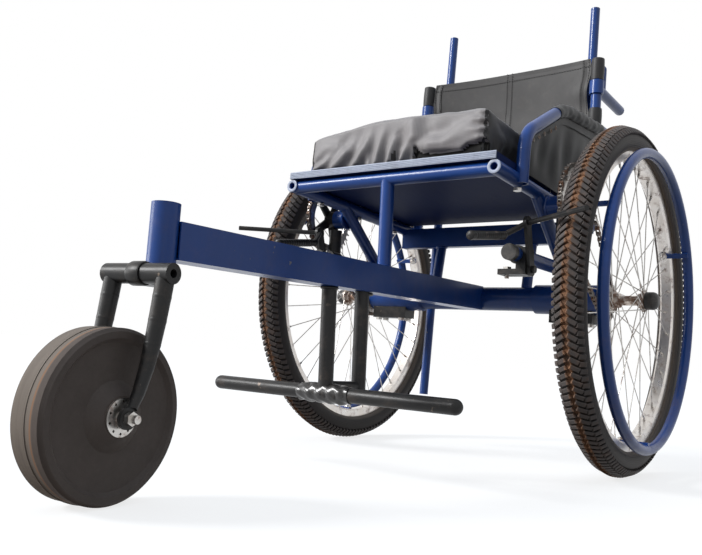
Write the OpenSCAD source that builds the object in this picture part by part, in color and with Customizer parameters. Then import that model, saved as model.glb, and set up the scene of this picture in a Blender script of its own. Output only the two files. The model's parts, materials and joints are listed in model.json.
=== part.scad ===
// All terrain wheelchair: two spoked rear wheels, one swivelling front caster on a long boom,
// a chain drive on each side and two drive levers stowed behind the backrest.
// Millimetres. +Z is up and the chair faces -Y. The origin lies on the ground, midway between the
// front of the caster and the back of the rear tyres.

/* [Rear wheels] */
// Outside radius of the rear tyre over its knobs
wheel_r = 334; // [320:1:350]
// Distance between the centre planes of the rear wheels
track = 647; // [620:1:700]
// Diameter of the tyre's round section without knobs
tyre_d = 52; // [46:1:56]
// Height of the tread knobs
knob_h = 4.5; // [3:0.5:6]
// Number of knob pitches round the tyre
knob_count = 54; // [40:1:70]
// Radius of the rim over its flanges
rim_r = 285.5; // [280:0.5:290]
// Width of the rim
rim_w = 28; // [24:1:32]
// Radial depth of the rim
rim_depth = 17.5; // [14:0.5:22]
// Number of spokes in a wheel
spoke_count = 36; // [24:4:48]
// Diameter of a spoke
spoke_d = 2; // [1.6:0.2:2.6]
// Distance between the hub's spoke flanges
hub_span = 56; // [48:1:60]
// Radius of the handrim's centre line
handrim_r = 278; // [270:0.5:280]
// Diameter of the handrim's tube
handrim_d = 19.5; // [16:0.5:22]
// Distance of the handrim outside the wheel's centre plane
handrim_out = 44; // [38:1:54]

/* [Caster] */
// Radius of the caster wheel
caster_r = 103.7; // [90:0.1:115]
// Width of the caster wheel
caster_w = 54; // [44:1:60]
// Distance of the caster axle from the swivel axis
trail = 74; // [60:1:90]
// Angle that the caster is turned by
steer = 5.6; // [0:0.1:20]
// Diameter of the fork legs at the crown
fork_leg_d = 23; // [18:1:26]

/* [Frame] */
// Distance of the swivel axis ahead of the rear axle
head_back = 870; // [800:1:950]
// Outside diameter of the head tube
head_d = 38; // [36:0.5:44]
// Height of the head tube
head_h = 80; // [70:1:100]
// Height of the head tube's lower end above the ground
head_z = 291; // [280:1:310]
// Width of the boom
boom_w = 40; // [34:1:50]
// Height of the boom
boom_h = 50; // [44:1:60]
// Fall of the boom from the rear axle to the head tube
boom_drop = 11; // [0:0.5:20]
// Diameter of the axle cross tube
cross_d = 50; // [44:1:56]
// Diameter of the sleeves on the cross tube's ends
sleeve_d = 60; // [56:1:66]
// Wall of the frame tubes
tube_wall = 2; // [1.5:0.1:3]

/* [Seat] */
// Distance of the side rails inside the rear wheels' middle planes
rail_in = 105.5; // [98:0.5:112]
// Diameter of the seat rails
rail_d = 25; // [22:0.5:28]
// Height of the side rails' front ends
rail_front_z = 516; // [490:1:540]
// Distance of the side rails' front ends ahead of the rear axle
rail_front = 387; // [370:1:410]
// Backward slope of the seat
seat_slope = 2.4; // [0:0.1:6]
// Bore in the front end of each side rail
rail_bore_d = 12; // [10:0.5:16]
// Length of that bore
rail_bore_len = 30; // [20:1:50]
// Overhang of the seat board beyond the middle of each side rail
board_over = 4; // [1:0.5:6]
// Thickness of the seat board
board_t = 12; // [9:0.5:16]
// Thickness of the cushion at its edges
cushion_t = 80; // [50:1:90]
// Distance of the cushion's sides inside the seat board's
cushion_in = 21; // [12:0.5:40]
// Rise of the cushion's middle over its edges
cushion_crown = 8; // [4:0.5:20]

/* [Backrest] */
// Distance of the backrest posts inside the side rails
post_in = 6; // [4:0.5:8]
// Diameter of the backrest posts
post_d = 22; // [20:0.5:25]
// Height of the posts' top ends
post_top_z = 865; // [820:1:920]
// Distance of the posts' top ends behind the rear axle
post_top_back = 94; // [80:1:110]
// Backward lean of the posts and the stowed levers
back_lean = 3.1; // [0:0.1:8]
// Height of the sling's lower edge
sling_low_z = 585; // [570:1:620]

/* [Side guards] */
// Distance of the guards outside the side rails
guard_out = 12; // [9:0.5:15]
// Diameter of the guard tube
guard_d = 23; // [19:0.5:25]
// Height of the guard's shoulder above the ground
guard_shoulder_z = 594; // [580:1:620]
// Height of the guard's rear end above the ground
guard_rear_z = 702; // [690:1:708]

/* [Footrest] */
// Width of the foot bar
foot_bar_w = 502; // [420:1:540]
// Diameter of the foot bar
foot_bar_d = 24; // [20:0.5:28]
// Height of the foot bar's centre
foot_bar_z = 129; // [110:1:150]
// Diameter of the footrest legs
foot_leg_d = 25; // [22:0.5:28]

/* [Drive] */
// Teeth of each chainring
ring_teeth = 36; // [32:1:40]
// Teeth of each freewheel
free_teeth = 20; // [18:1:22]
// Pitch of the chain
chain_pitch = 12.7; // [12.7:0.1:12.7]
// Number of links in each chain
chain_links = 66; // [66:2:68]
// Angle of the line from the rear axle to the crank, above the ground
crank_rise = 39.6; // [36:0.1:42]
// Distance of the chain's plane inside the rear wheels' middle planes
chain_in = 43.5; // [41.5:0.5:45.5]
// Outside diameter of the drive levers
lever_d = 20; // [18:0.5:22]
// Length of the drive levers
lever_len = 902; // [820:1:960]
// Distance of the stowed levers inside the posts
lever_in = 30; // [24:1:40]
// Distance of the stowed levers behind the posts
lever_behind = 46; // [42:1:56]
// Depth of the lever sockets
socket_len = 76; // [50:1:78]

/* [Wheel locks] */
// Diameter of the brake bars
bar_d = 9; // [7:0.5:11]
// Diameter of the lock grips
grip_d = 13; // [12:0.5:16]
// Height of the lock levers' pivots
lock_pivot_z = 363; // [360:1:366]

/* [Hidden] */
$fn = 48;

// Paint and material colours
blue = [0.10, 0.17, 0.48];
black = [0.07, 0.07, 0.08];
steel = [0.72, 0.72, 0.74];
rubber = [0.10, 0.09, 0.09];
cloth = [0.26, 0.25, 0.25];

// Clearances: welded seams, pressed seats, running fits, sliding fits and parts that lie close
weld_gap = 0.15;
seat_gap = 0.1;
run_gap = 0.05;
slide_gap = 0.4;
clear_gap = 0.3;
// Overrun of every cut
cut = 1;

// Places across the chair, all taken from the wheels' middle planes
chain_x = track / 2 - chain_in;
rail_x = track / 2 - rail_in;
board_w = 2 * rail_x + 2 * board_over;
cushion_w = board_w - 2 * cushion_in;
post_x = rail_x - post_in;
guard_x = rail_x + guard_out;
lever_x = post_x - lever_in;
sleeve_end_in = 55.5;
sleeve_len = 132;
sleeve_out = track / 2 - sleeve_end_in;
sleeve_in = sleeve_out - sleeve_len;

// Height of the rear axle, and its place that centres the chair on the origin
axle_z = wheel_r;
caster_edge = 5;
caster_reach = caster_r * cos(steer) + (caster_w / 2 - caster_edge) * sin(steer);
front_reach = head_back + trail * cos(steer) + caster_reach;
axle_y = (front_reach - wheel_r) / 2;
head_y = axle_y - head_back;

// A solid round bar between two points
module rod(p, q, d) {
    v = q - p;
    len = norm(v);
    translate(p) rotate([0, acos(v.z / len), atan2(v.y, v.x)]) cylinder(h = len, d = d);
}

// A round bar between two points that runs past both by the overrun
module long_rod(p, q, d) {
    step = cut * (q - p) / norm(q - p);
    rod(p - step, q + step, d);
}

// A round tube between two points
module pipe(p, q, d, wall = tube_wall) {
    difference() {
        rod(p, q, d);
        long_rod(p, q, d - 2 * wall);
    }
}

// A round tube between two points, closed at the second
module closed_pipe(p, q, d, wall = tube_wall) {
    step = (q - p) / norm(q - p);
    difference() {
        rod(p, q, d);
        rod(p - cut * step, q - wall * step, d - 2 * wall);
    }
}

// A solid round bar between two points, with a round end past the second
module round_rod(p, q, d) {
    v = q - p;
    len = norm(v);
    translate(p) rotate([0, acos(v.z / len), atan2(v.y, v.x)]) rotate_extrude() {
        square([d / 2, len]);
        translate([0, len]) intersection() {
            circle(d = d);
            square(d / 2);
        }
    }
}

// What is on the sitter's left, repeated on the right
module both_sides() {
    children();
    mirror([1, 0, 0]) children();
}

// A hexagon across its flats, standing along Z
module hex(flats, h) {
    cylinder(h = h, d = flats / cos(30), $fn = 6);
}

// Turns the XY plane of an outline into the chair's YZ plane, with Z along +X
module in_side_plane(x) {
    translate([x, 0, 0]) rotate([90, 0, 90]) children();
}

// A ring or disc, the section of a bent bar
module bar_section(d, bore) {
    difference() {
        circle(d = d);
        if (bore > 0) circle(d = bore);
    }
}

// A round bar along a bent line in its own XY plane, with one bend radius a corner
module bent_bar(points, bends, d, bore = 0) {
    last = len(points) - 1;
    function dir(i) = (points[i + 1] - points[i]) / norm(points[i + 1] - points[i]);
    function turn(i) = atan2(cross(dir(i - 1), dir(i)), dir(i - 1) * dir(i));
    function setback(i) = i == 0 || i == last ? 0 : bends[i - 1] * tan(abs(turn(i)) / 2);
    for (i = [0 : last - 1]) {
        a = points[i] + setback(i) * dir(i);
        b = points[i + 1] - setback(i + 1) * dir(i);
        translate([a.x, a.y, 0]) rotate([90, 0, atan2(b.y - a.y, b.x - a.x) + 90])
            linear_extrude(norm(b - a)) bar_section(d, bore);
    }
    for (i = [1 : last - 1]) {
        side = sign(turn(i));
        start = points[i] - setback(i) * dir(i - 1);
        centre = start + side * bends[i - 1] * [-dir(i - 1).y, dir(i - 1).x];
        from = atan2(start.y - centre.y, start.x - centre.x);
        seam = weld_gap / bends[i - 1] * 180 / PI;
        translate([centre.x, centre.y, 0]) rotate((side > 0 ? from : from + turn(i)) + seam)
            rotate_extrude(angle = abs(turn(i)) - 2 * seam) translate([bends[i - 1], 0]) bar_section(d, bore);
    }
}

// A bent tube
module bent_pipe(points, bends, d) {
    bent_bar(points, bends, d, d - 2 * tube_wall);
}

// Head tube and headset
bush_wall = 3.45;
head_wall = 3;
steerer_d = head_d - 2 * head_wall - 2 * seat_gap - 2 * bush_wall - 2 * run_gap;
bush_h = 25;
bush_flange_t = 2;
bush_top_inset = 16;

module head_tube() {
    color(blue) translate([0, head_y, head_z]) difference() {
        cylinder(h = head_h, d = head_d);
        translate([0, 0, -cut]) cylinder(h = head_h + 2 * cut, d = head_d - 2 * head_wall);
    }
}

module headset_bushes() {
    bush_d = head_d - 2 * head_wall - 2 * seat_gap;
    color(steel) translate([0, head_y, head_z]) {
        difference() {
            union() {
                cylinder(h = bush_h, d = bush_d);
                translate([0, 0, -bush_flange_t - seat_gap]) cylinder(h = bush_flange_t, d = head_d);
                translate([0, 0, -bush_flange_t]) cylinder(h = bush_flange_t, d = bush_d);
            }
            translate([0, 0, -bush_flange_t - cut])
                cylinder(h = bush_h + bush_flange_t + 2 * cut, d = steerer_d + 2 * run_gap);
        }
        translate([0, 0, head_h - bush_top_inset - bush_h]) difference() {
            cylinder(h = bush_h, d = bush_d);
            translate([0, 0, -cut]) cylinder(h = bush_h + 2 * cut, d = steerer_d + 2 * run_gap);
        }
    }
}

// Boom, a rectangular tube from the head tube back to the axle cross tube
boom_wall = 2.5;
boom_tilt = atan(boom_drop / head_back);
boom_end_share = 0.3;

// The boom's outside, grown by a gap
module boom_block(grow = 0) {
    front = head_back - boom_end_share * head_d;
    rear = boom_end_share * cross_d;
    translate([0, axle_y, axle_z]) rotate([boom_tilt, 0, 0])
        translate([-boom_w / 2 - grow, -front, -boom_h / 2 - grow])
            cube([boom_w + 2 * grow, front - rear, boom_h + 2 * grow]);
}

module cross_tube_outside(grow = 0) {
    translate([-track / 2, axle_y, axle_z]) rotate([0, 90, 0]) cylinder(h = track, d = cross_d + 2 * grow);
}

module boom() {
    color(blue) difference() {
        boom_block();
        translate([0, axle_y, axle_z]) rotate([boom_tilt, 0, 0])
            translate([boom_wall - boom_w / 2, -head_back, boom_wall - boom_h / 2])
                cube([boom_w - 2 * boom_wall, head_back, boom_h - 2 * boom_wall]);
        translate([0, head_y, head_z - cut]) cylinder(h = head_h + 2 * cut, d = head_d + 2 * weld_gap);
        cross_tube_outside(weld_gap);
    }
}

// Height of the boom's centre line at a place along the chair
function boom_z(y) = axle_z - tan(boom_tilt) * (axle_y - y);

// Seat frame: a sloping plane through the side rails' centre lines
rail_front_y = axle_y - rail_front;
front_rail_in = 14;
rail_wall = 2;
board_front = -2;
board_len = 432;
bolt_places_shares = [0.22, 0.53, 0.86];
bolt_d = 8;
bolt_flats = 13;
bolt_head_h = 5.3;

// The seat's own frame: Y runs back along the rails and Z stands square to the seat
module in_seat_frame() {
    translate([0, rail_front_y, rail_front_z]) rotate([-seat_slope, 0, 0]) children();
}

// Height of the rails' centre lines at a place along the chair
function rail_z(y) = rail_front_z - tan(seat_slope) * (y - rail_front_y);

// Backrest posts lean back, and the stowed levers lie parallel behind them
post_top_y = axle_y + post_top_back;
post_low_z = 482;
function post_y(z) = post_top_y - tan(back_lean) * (post_top_z - z);
function post_at(z) = [post_x, post_y(z), z];
function lever_at(z) = [lever_x, post_y(z) + lever_behind, z];
rail_len = (post_y(rail_front_z) - rail_front_y) / cos(seat_slope);

module side_rail_outside(grow = 0) {
    in_seat_frame() rod([rail_x, 0, 0], [rail_x, rail_len, 0], rail_d + 2 * grow);
}

module post_outside(grow = 0) {
    long_rod(post_at(post_low_z), post_at(post_top_z), post_d + 2 * grow);
}

module seat_front_rail() {
    color(blue) difference() {
        in_seat_frame() pipe([-rail_x, front_rail_in, 0], [rail_x, front_rail_in, 0], rail_d, rail_wall);
        both_sides() side_rail_outside(weld_gap);
    }
}

module bolt_places() {
    for (share = bolt_places_shares)
        in_seat_frame() translate([rail_x, board_front + share * board_len, 0]) children();
}

module seat_side_rails() {
    color(blue) both_sides() difference() {
        side_rail_outside();
        in_seat_frame() {
            long_rod([rail_x, 0, 0], [rail_x, rail_bore_len, 0], rail_bore_d);
            long_rod([rail_x, rail_bore_len + cut, 0], [rail_x, rail_len, 0], rail_d - 2 * rail_wall);
        }
        bolt_places() translate([0, 0, -rail_d]) cylinder(h = 2 * rail_d, d = bolt_d + 2 * slide_gap);
        post_outside(weld_gap);
    }
}

module front_post() {
    foot_y = axle_y - post_foot;
    color(blue) difference() {
        pipe([0, foot_y, boom_z(foot_y)], front_rail_at(0), foot_leg_d);
        boom_block(weld_gap);
        rod(front_rail_at(-rail_x), front_rail_at(rail_x), rail_d + 2 * weld_gap);
    }
}

post_foot = 366;
function front_rail_at(x) = [x, rail_front_y + front_rail_in * cos(seat_slope),
    rail_front_z - front_rail_in * sin(seat_slope)];

// Rear bar under the seat's back edge
rear_bar_back = 30;
rear_bar_t = 20;
rear_bar_h = 45;
rear_bar_y = axle_y + rear_bar_back;
rear_bar_top = rail_z(rear_bar_y);

module rear_bar_block(grow = 0) {
    translate([-rail_x, rear_bar_y - rear_bar_t / 2 - grow, rear_bar_top - rear_bar_h - grow])
        cube([2 * rail_x, rear_bar_t + 2 * grow, rear_bar_h + 2 * grow]);
}

module seat_rear_bar() {
    color(blue) difference() {
        rear_bar_block();
        translate([-rail_x - cut, rear_bar_y + tube_wall - rear_bar_t / 2,
            rear_bar_top + tube_wall - rear_bar_h])
            cube([2 * (rail_x + cut), rear_bar_t - 2 * tube_wall, rear_bar_h - 2 * tube_wall]);
        both_sides() side_rail_outside(weld_gap);
    }
}

// Struts from the side rails down to the axle sleeves
strut_front = 215;
strut_top_y = axle_y - strut_front;
strut_top = [rail_x, strut_top_y, rail_z(strut_top_y)];
strut_low = [rail_x, axle_y, axle_z];

module strut_outside(grow = 0) {
    rod(strut_top, strut_low, rail_d + 2 * grow);
}

module sleeve_outside(grow = 0) {
    rod([sleeve_in, axle_y, axle_z], [sleeve_out, axle_y, axle_z], sleeve_d + 2 * grow);
}

module seat_struts() {
    color(blue) both_sides() difference() {
        pipe(strut_top, strut_low, rail_d);
        side_rail_outside(weld_gap);
        long_rod([sleeve_in, axle_y, axle_z], [sleeve_out, axle_y, axle_z], sleeve_d + 2 * weld_gap);
    }
}

// Uprights between the rear bar and the cross tube, inboard of the sleeves
upright_d = 22;
upright_in = 26;
upright_x = sleeve_in - upright_in;

module rear_uprights() {
    color(blue) both_sides() difference() {
        pipe([upright_x, axle_y, axle_z], [upright_x, rear_bar_y, rear_bar_top], upright_d);
        translate([0, rear_bar_y - 2 * rear_bar_t, rear_bar_top - rear_bar_h - weld_gap])
            cube([2 * upright_x, 4 * rear_bar_t, 2 * rear_bar_h]);
        cross_tube_outside(weld_gap);
    }
}

// Axle cross tube, sleeves and stub axles
cross_end_in = 12;
axle_d = 12;
axle_plug_len = 60;
axle_flange_t = 4;
axle_flange_d = 44;
axle_shoulder_d = 16;
axle_nut_d = 20;
axle_nut_h = 7;
bearing_d = 21;
bearing_w = 8;
bearing_stand = 9;
bearing_in_x = sleeve_out + bearing_stand;
hub_end_gap = 1.5;
hub_flange_t = 3;

// Places along the axle outside the hub
hub_out_x = track / 2 + hub_span / 2 + hub_flange_t;
axle_nut_x = hub_out_x + hub_end_gap;
bearing_out_x = hub_out_x - bearing_w - hub_end_gap;

module along_axle(x) {
    translate([x, axle_y, axle_z]) rotate([0, 90, 0]) children();
}

module axle_cross_tube() {
    half = sleeve_out - cross_end_in;
    color(blue) pipe([-half, axle_y, axle_z], [half, axle_y, axle_z], cross_d);
}

module axle_sleeves() {
    wall = (sleeve_d - cross_d) / 2 - seat_gap;
    color(blue) both_sides() pipe([sleeve_in, axle_y, axle_z], [sleeve_out, axle_y, axle_z], sleeve_d, wall);
}

module rear_axles() {
    plug_d = cross_d - 2 * tube_wall - 2 * seat_gap;
    plug_end = sleeve_out - cross_end_in;
    color(steel) both_sides() {
        along_axle(plug_end - axle_plug_len) cylinder(h = axle_plug_len, d = plug_d);
        along_axle(plug_end) cylinder(h = cross_end_in + seat_gap, d = axle_flange_d);
        along_axle(sleeve_out + seat_gap) cylinder(h = axle_flange_t, d = axle_flange_d);
        along_axle(sleeve_out) cylinder(h = bearing_in_x - sleeve_out - seat_gap, d = axle_shoulder_d);
        along_axle(sleeve_out) cylinder(h = axle_nut_x + axle_nut_h - sleeve_out, d = axle_d);
        along_axle(axle_nut_x) cylinder(h = axle_nut_h, d = axle_nut_d);
    }
}

module wheel_bearings() {
    color(steel) both_sides() for (x = [bearing_in_x, bearing_out_x])
        along_axle(x) difference() {
            cylinder(h = bearing_w, d = bearing_d);
            translate([0, 0, -cut]) cylinder(h = bearing_w + 2 * cut, d = axle_d + 2 * seat_gap);
        }
}

// Rubber cap over the outer axle nut
axle_cap_d = 34;
axle_cap_len = 24;
axle_cap_round = 12;

module axle_caps() {
    flat_len = axle_cap_len - axle_cap_round;
    color(rubber) both_sides() along_axle(axle_nut_x) difference() {
        rotate_extrude() {
            square([axle_cap_d / 2, flat_len]);
            square([axle_cap_d / 2 - axle_cap_round, axle_cap_len]);
            translate([axle_cap_d / 2 - axle_cap_round, flat_len]) intersection() {
                circle(r = axle_cap_round);
                square(axle_cap_round);
            }
        }
        translate([0, 0, -cut]) cylinder(h = axle_nut_h + seat_gap + cut, d = axle_nut_d + 2 * seat_gap);
    }
}

// Black clamp plates under the sleeves
clamp_end_in = 8;
clamp_len = 88;
clamp_in = sleeve_out - clamp_end_in - clamp_len;
clamp_depth = 40;
clamp_low = 48;
clamp_top_share = 0.5;
clamp_bolt_shares = [0.15, 0.85];

module axle_clamps() {
    top = axle_z - clamp_top_share * sleeve_d / 2;
    low = axle_z - clamp_low;
    color(black) both_sides() difference() {
        translate([clamp_in, axle_y - clamp_depth / 2, low]) cube([clamp_len, clamp_depth, top - low]);
        long_rod([sleeve_in, axle_y, axle_z], [sleeve_out, axle_y, axle_z], sleeve_d + 2 * weld_gap);
        clamp_bolt_places() cylinder(h = clamp_low, d = bolt_d + 2 * slide_gap);
    }
}

module clamp_bolt_places() {
    for (share_x = clamp_bolt_shares) for (share_y = clamp_bolt_shares)
        translate([clamp_in + share_x * clamp_len, axle_y + (share_y - 1 / 2) * clamp_depth,
            axle_z - clamp_low]) children();
}

module hex_bolts() {
    under_rail = rail_d / 2 + clear_gap;
    clamp_grip = clamp_low - sleeve_d / 2;
    color(steel) both_sides() {
        bolt_places() {
            translate([0, 0, -under_rail - bolt_head_h]) hex(bolt_flats, bolt_head_h);
            translate([0, 0, -under_rail]) cylinder(h = under_rail + rail_d / 2 + board_t, d = bolt_d);
        }
        clamp_bolt_places() {
            translate([0, 0, -bolt_head_h - seat_gap]) hex(bolt_flats, bolt_head_h);
            translate([0, 0, -seat_gap]) cylinder(h = clamp_grip, d = bolt_d);
        }
        lock_bolt_places() {
            translate([0, 0, -bolt_head_h - seat_gap]) hex(bolt_flats, bolt_head_h);
            translate([0, 0, -seat_gap]) cylinder(h = lock_foot_t + bolt_head_h, d = bolt_d);
        }
    }
}

// Seat board and cushion
cushion_front = 6;
cushion_len = 428;
cushion_round = 26;
cushion_draw = 7;
cushion_edge_rise = 8;
cushion_face_share = 0.3;
cushion_middle_share = 0.02;
cushion_gather_share = 0.25;
cushion_gathers = 9;

module seat_board() {
    color(blue) difference() {
        in_seat_frame() translate([-board_w / 2, board_front, rail_d / 2 + weld_gap])
            cube([board_w, board_len, board_t]);
        both_sides() bolt_places() cylinder(h = rail_d + board_t, d = bolt_d + 2 * slide_gap);
        both_sides() post_outside(clear_gap);
        both_sides() guard_outside(clear_gap);
    }
}

// Cushion: rings of points round its plan, drawn in at mid height and crowned at the top
cushion_steps = 40;
cushion_rings = 12;
function round_box(a, half_w, half_l, r) =
    let (c = cos(a), s = sin(a))
    [sign(c) * (half_w - r) + r * c, sign(s) * (half_l - r) + r * s];
function cushion_edge_at(p) = cushion_edge_rise * (1 - pow(2 * p.x / cushion_w, 2));
function cushion_crown_at(p) =
    cushion_crown * (1 - pow(2 * p.x / cushion_w, 2)) * (1 - pow(2 * p.y / cushion_len, 2));
// A ring's share of the plan and of the height, from the bottom's middle to the top's middle
function cushion_ring(i) =
    let (t = i / (cushion_rings - 1), face = cushion_face_share)
    t < face ? [t / face, 0] : t > 1 - face ? [(1 - t) / face, 1] : [1, (t - face) / (1 - 2 * face)];
function cushion_point(i, k) =
    let (ring = cushion_ring(i), a = 360 * (k + 1 / 2) / cushion_steps,
        wall = sin(180 * ring[1]),
        p = round_box(a, cushion_w / 2, cushion_len / 2, cushion_round),
        inset = 1 - cushion_draw * wall / (cushion_w / 2),
        gather = cushion_draw * wall * cushion_gather_share * sin(cushion_gathers * a),
        q = p * max(ring[0], cushion_middle_share) * inset + gather * [cos(a), sin(a)])
    [q.x, q.y, (cushion_t + cushion_edge_at(q)) * ring[1] + (ring[1] == 1 ? cushion_crown_at(q) : 0)];

module cushion() {
    points = [for (i = [0 : cushion_rings - 1]) for (k = [0 : cushion_steps - 1]) cushion_point(i, k)];
    function at(i, k) = i * cushion_steps + k % cushion_steps;
    sides = [for (i = [0 : cushion_rings - 2]) for (k = [0 : cushion_steps - 1])
        for (f = [[at(i, k), at(i + 1, k + 1), at(i, k + 1)], [at(i, k), at(i + 1, k), at(i + 1, k + 1)]]) f];
    low = [for (k = [0 : cushion_steps - 1]) at(0, k)];
    high = [for (k = [0 : cushion_steps - 1]) at(cushion_rings - 1, cushion_steps - 1 - k)];
    color(cloth) in_seat_frame()
        translate([0, cushion_front + cushion_len / 2, rail_d / 2 + weld_gap + board_t + clear_gap])
            polyhedron(points, concat(sides, [low, high]));
}

// Backrest
post_cap_t = 3;
loop_wall = 2.4;
loop_top_h = 44;
loop_mid_z = 716;
loop_mid_h = 40;
sling_t = 4;
sling_sag = 14;
sling_top_over = 10;
sling_steps = 14;

module backrest_posts() {
    color(blue) both_sides() {
        pipe(post_at(post_low_z), post_at(post_top_z), post_d);
        rod(post_at(post_top_z - post_cap_t), post_at(post_top_z), post_d);
    }
}

// Stands along the posts at a height, with Z along their lean
module in_back_frame(x, z) {
    translate([x, post_y(z), z]) rotate([-back_lean, 0, 0]) children();
}

module backrest_sling() {
    half = post_x - post_d / 2 - clear_gap - loop_wall / 2;
    height = (post_top_z + sling_top_over - sling_low_z) / cos(back_lean);
    function sag(x) = sling_sag * (1 - pow(x / half, 2));
    function edge(i) = half * (2 * i / sling_steps - 1);
    ribbon = concat(
        [for (i = [0 : sling_steps]) [edge(i), sag(edge(i)) - sling_t / 2]],
        [for (i = [sling_steps : -1 : 0]) [edge(i), sag(edge(i)) + sling_t / 2]]);
    color(cloth) difference() {
        union() {
            in_back_frame(0, sling_low_z) linear_extrude(height) polygon(ribbon);
            both_sides() {
                in_back_frame(post_x, post_top_z - loop_top_h)
                    cylinder(h = loop_top_h + sling_t, d = loop_d());
                in_back_frame(post_x, loop_mid_z) cylinder(h = loop_mid_h, d = loop_d());
            }
        }
        both_sides() {
            rod(post_at(post_low_z), post_at(post_top_z + clear_gap), post_d + 2 * clear_gap);
            handle_collar_outside(clear_gap);
        }
    }
}
function loop_d() = post_d + 2 * clear_gap + 2 * loop_wall;

// Push handles run back from the posts, with a short upright horn behind each post
handle_z = 804;
handle_len = 155;
handle_drop = 4;
handle_d = 22;
handle_collar_h = 30;
handle_collar_wall = 4;
horn_back = 27;
horn_h = 52;
horn_d = 20;

module handle_collar_outside(grow = 0) {
    in_back_frame(post_x, handle_z - handle_collar_h / 2 - grow)
        cylinder(h = handle_collar_h + 2 * grow, d = post_d + 2 * handle_collar_wall + 2 * grow);
}

module push_handles() {
    root = post_at(handle_z);
    end = root + [0, handle_len, -handle_drop];
    color(blue) both_sides() difference() {
        union() {
            round_rod(root, end, handle_d);
            handle_collar_outside();
            in_back_frame(post_x, handle_z) round_rod([0, horn_back, 0], [0, horn_back, horn_h], horn_d);
        }
        post_outside(weld_gap);
        rod(root, end, handle_d - 2 * tube_wall);
    }
}

// Side guards: a bent tube from the rail over to the post, with a cloth panel inside it
guard_foot = 305;
guard_foot_drop = 9;
guard_shoulder = 300;
guard_brow = 140;
guard_brow_z = 684;
guard_bends = [58, 160];
panel_t = 3;
panel_fold = 2.5;
panel_folds = 5;
panel_steps = 60;
panel_gap = 2;

function guard_line() = [[axle_y - guard_foot, rail_z(axle_y - guard_foot) - guard_foot_drop],
    [axle_y - guard_shoulder, guard_shoulder_z], [axle_y - guard_brow, guard_brow_z],
    [post_y(guard_rear_z), guard_rear_z]];

module guard_outside(grow = 0) {
    in_side_plane(guard_x) bent_bar(guard_line(), guard_bends, guard_d + 2 * grow);
}

module guard_tubes() {
    color(blue) both_sides() difference() {
        in_side_plane(guard_x) bent_pipe(guard_line(), guard_bends, guard_d);
        side_rail_outside(weld_gap);
        post_outside(weld_gap);
    }
}

// The panel's outline lies inside the guard tube, above the rail and ahead of the post
module panel_outline() {
    line = guard_line();
    inset = guard_d / 2 + panel_gap;
    rear_y = post_y(sling_low_z) - post_d / 2 - panel_gap;
    front_y = line[1].x + inset;
    polygon([[front_y, rail_z(front_y) + rail_d / 2 + panel_gap],
        [front_y, line[1].y - inset],
        [line[2].x, line[2].y - 2 * inset],
        [rear_y, line[3].y - 2 * inset],
        [rear_y, rail_z(rear_y) + rail_d / 2 + panel_gap]]);
}

module guard_panels() {
    from_y = axle_y - guard_shoulder;
    length = post_top_y - from_y;
    function wave(i) = panel_fold * sin(360 * panel_folds * i / panel_steps);
    ribbon = concat(
        [for (i = [0 : panel_steps]) [wave(i) - panel_t / 2, from_y + length * i / panel_steps]],
        [for (i = [panel_steps : -1 : 0]) [wave(i) + panel_t / 2, from_y + length * i / panel_steps]]);
    color(cloth) both_sides() intersection() {
        translate([guard_x, 0, 0]) linear_extrude(post_top_z) polygon(ribbon);
        in_side_plane(guard_x - guard_d) linear_extrude(2 * guard_d) panel_outline();
    }
}

// Footrest
foot_front_top = 522;
foot_front_low = 512;
foot_rear_top = 430;
foot_rear_low = 421;
foot_sleeve_d = 30;
foot_sleeve_len = 62;
foot_y = axle_y - foot_front_low;
link_d = 16;
link_up = 12;

module foot_sleeve_outside(grow = 0) {
    rod([-foot_sleeve_len, foot_y, foot_bar_z], [foot_sleeve_len, foot_y, foot_bar_z],
        foot_sleeve_d + 2 * grow);
}

function leg_top(back) = [0, axle_y - back, boom_z(axle_y - back)];
function leg_low(back) = [0, axle_y - back, foot_bar_z];

module footrest_legs() {
    front = [leg_top(foot_front_top), leg_low(foot_front_low)];
    rear = [leg_top(foot_rear_top), leg_low(foot_rear_low)];
    color(black) {
        difference() {
            pipe(front[0], front[1], foot_leg_d);
            boom_block(weld_gap);
            foot_sleeve_outside(weld_gap);
        }
        difference() {
            closed_pipe(rear[0], rear[1], foot_leg_d);
            boom_block(weld_gap);
        }
        difference() {
            rod(front[1] + [0, 0, link_up], rear[1] + [0, 0, link_up], link_d);
            long_rod(front[0], front[1], foot_leg_d + 2 * weld_gap);
            long_rod(rear[0], rear[1], foot_leg_d + 2 * weld_gap);
            foot_sleeve_outside(weld_gap);
        }
    }
}

module foot_bar() {
    end_x = foot_bar_w / 2 - foot_bar_d / 2;
    color(black) translate([0, foot_y, foot_bar_z]) {
        rod([-end_x, 0, 0], [end_x, 0, 0], foot_bar_d);
        rod([-foot_sleeve_len / 2, 0, 0], [foot_sleeve_len / 2, 0, 0], foot_sleeve_d);
        for (x = [-end_x, end_x]) translate([x, 0, 0]) sphere(d = foot_bar_d);
    }
}

// Chain drive: the crank's place follows from the number of links
ring_r = ring_teeth * chain_pitch / (2 * PI);
free_r = free_teeth * chain_pitch / (2 * PI);
function wrap_angle(c) = asin((ring_r - free_r) / c);
function chain_run(c) = sqrt(c * c - pow(ring_r - free_r, 2));
function chain_length(c) = 2 * chain_run(c) + PI * (ring_r + free_r)
    + 2 * (ring_r - free_r) * wrap_angle(c) * PI / 180;
function solve_span(c, n) = n == 0 ? c
    : solve_span(c + (chain_links * chain_pitch - chain_length(c)) / 2, n - 1);
span = solve_span(chain_links * chain_pitch / 4, 30);
crank_y = axle_y - span * cos(crank_rise);
crank_z = axle_z + span * sin(crank_rise);
lap = wrap_angle(span);
run_len = chain_run(span);

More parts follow.
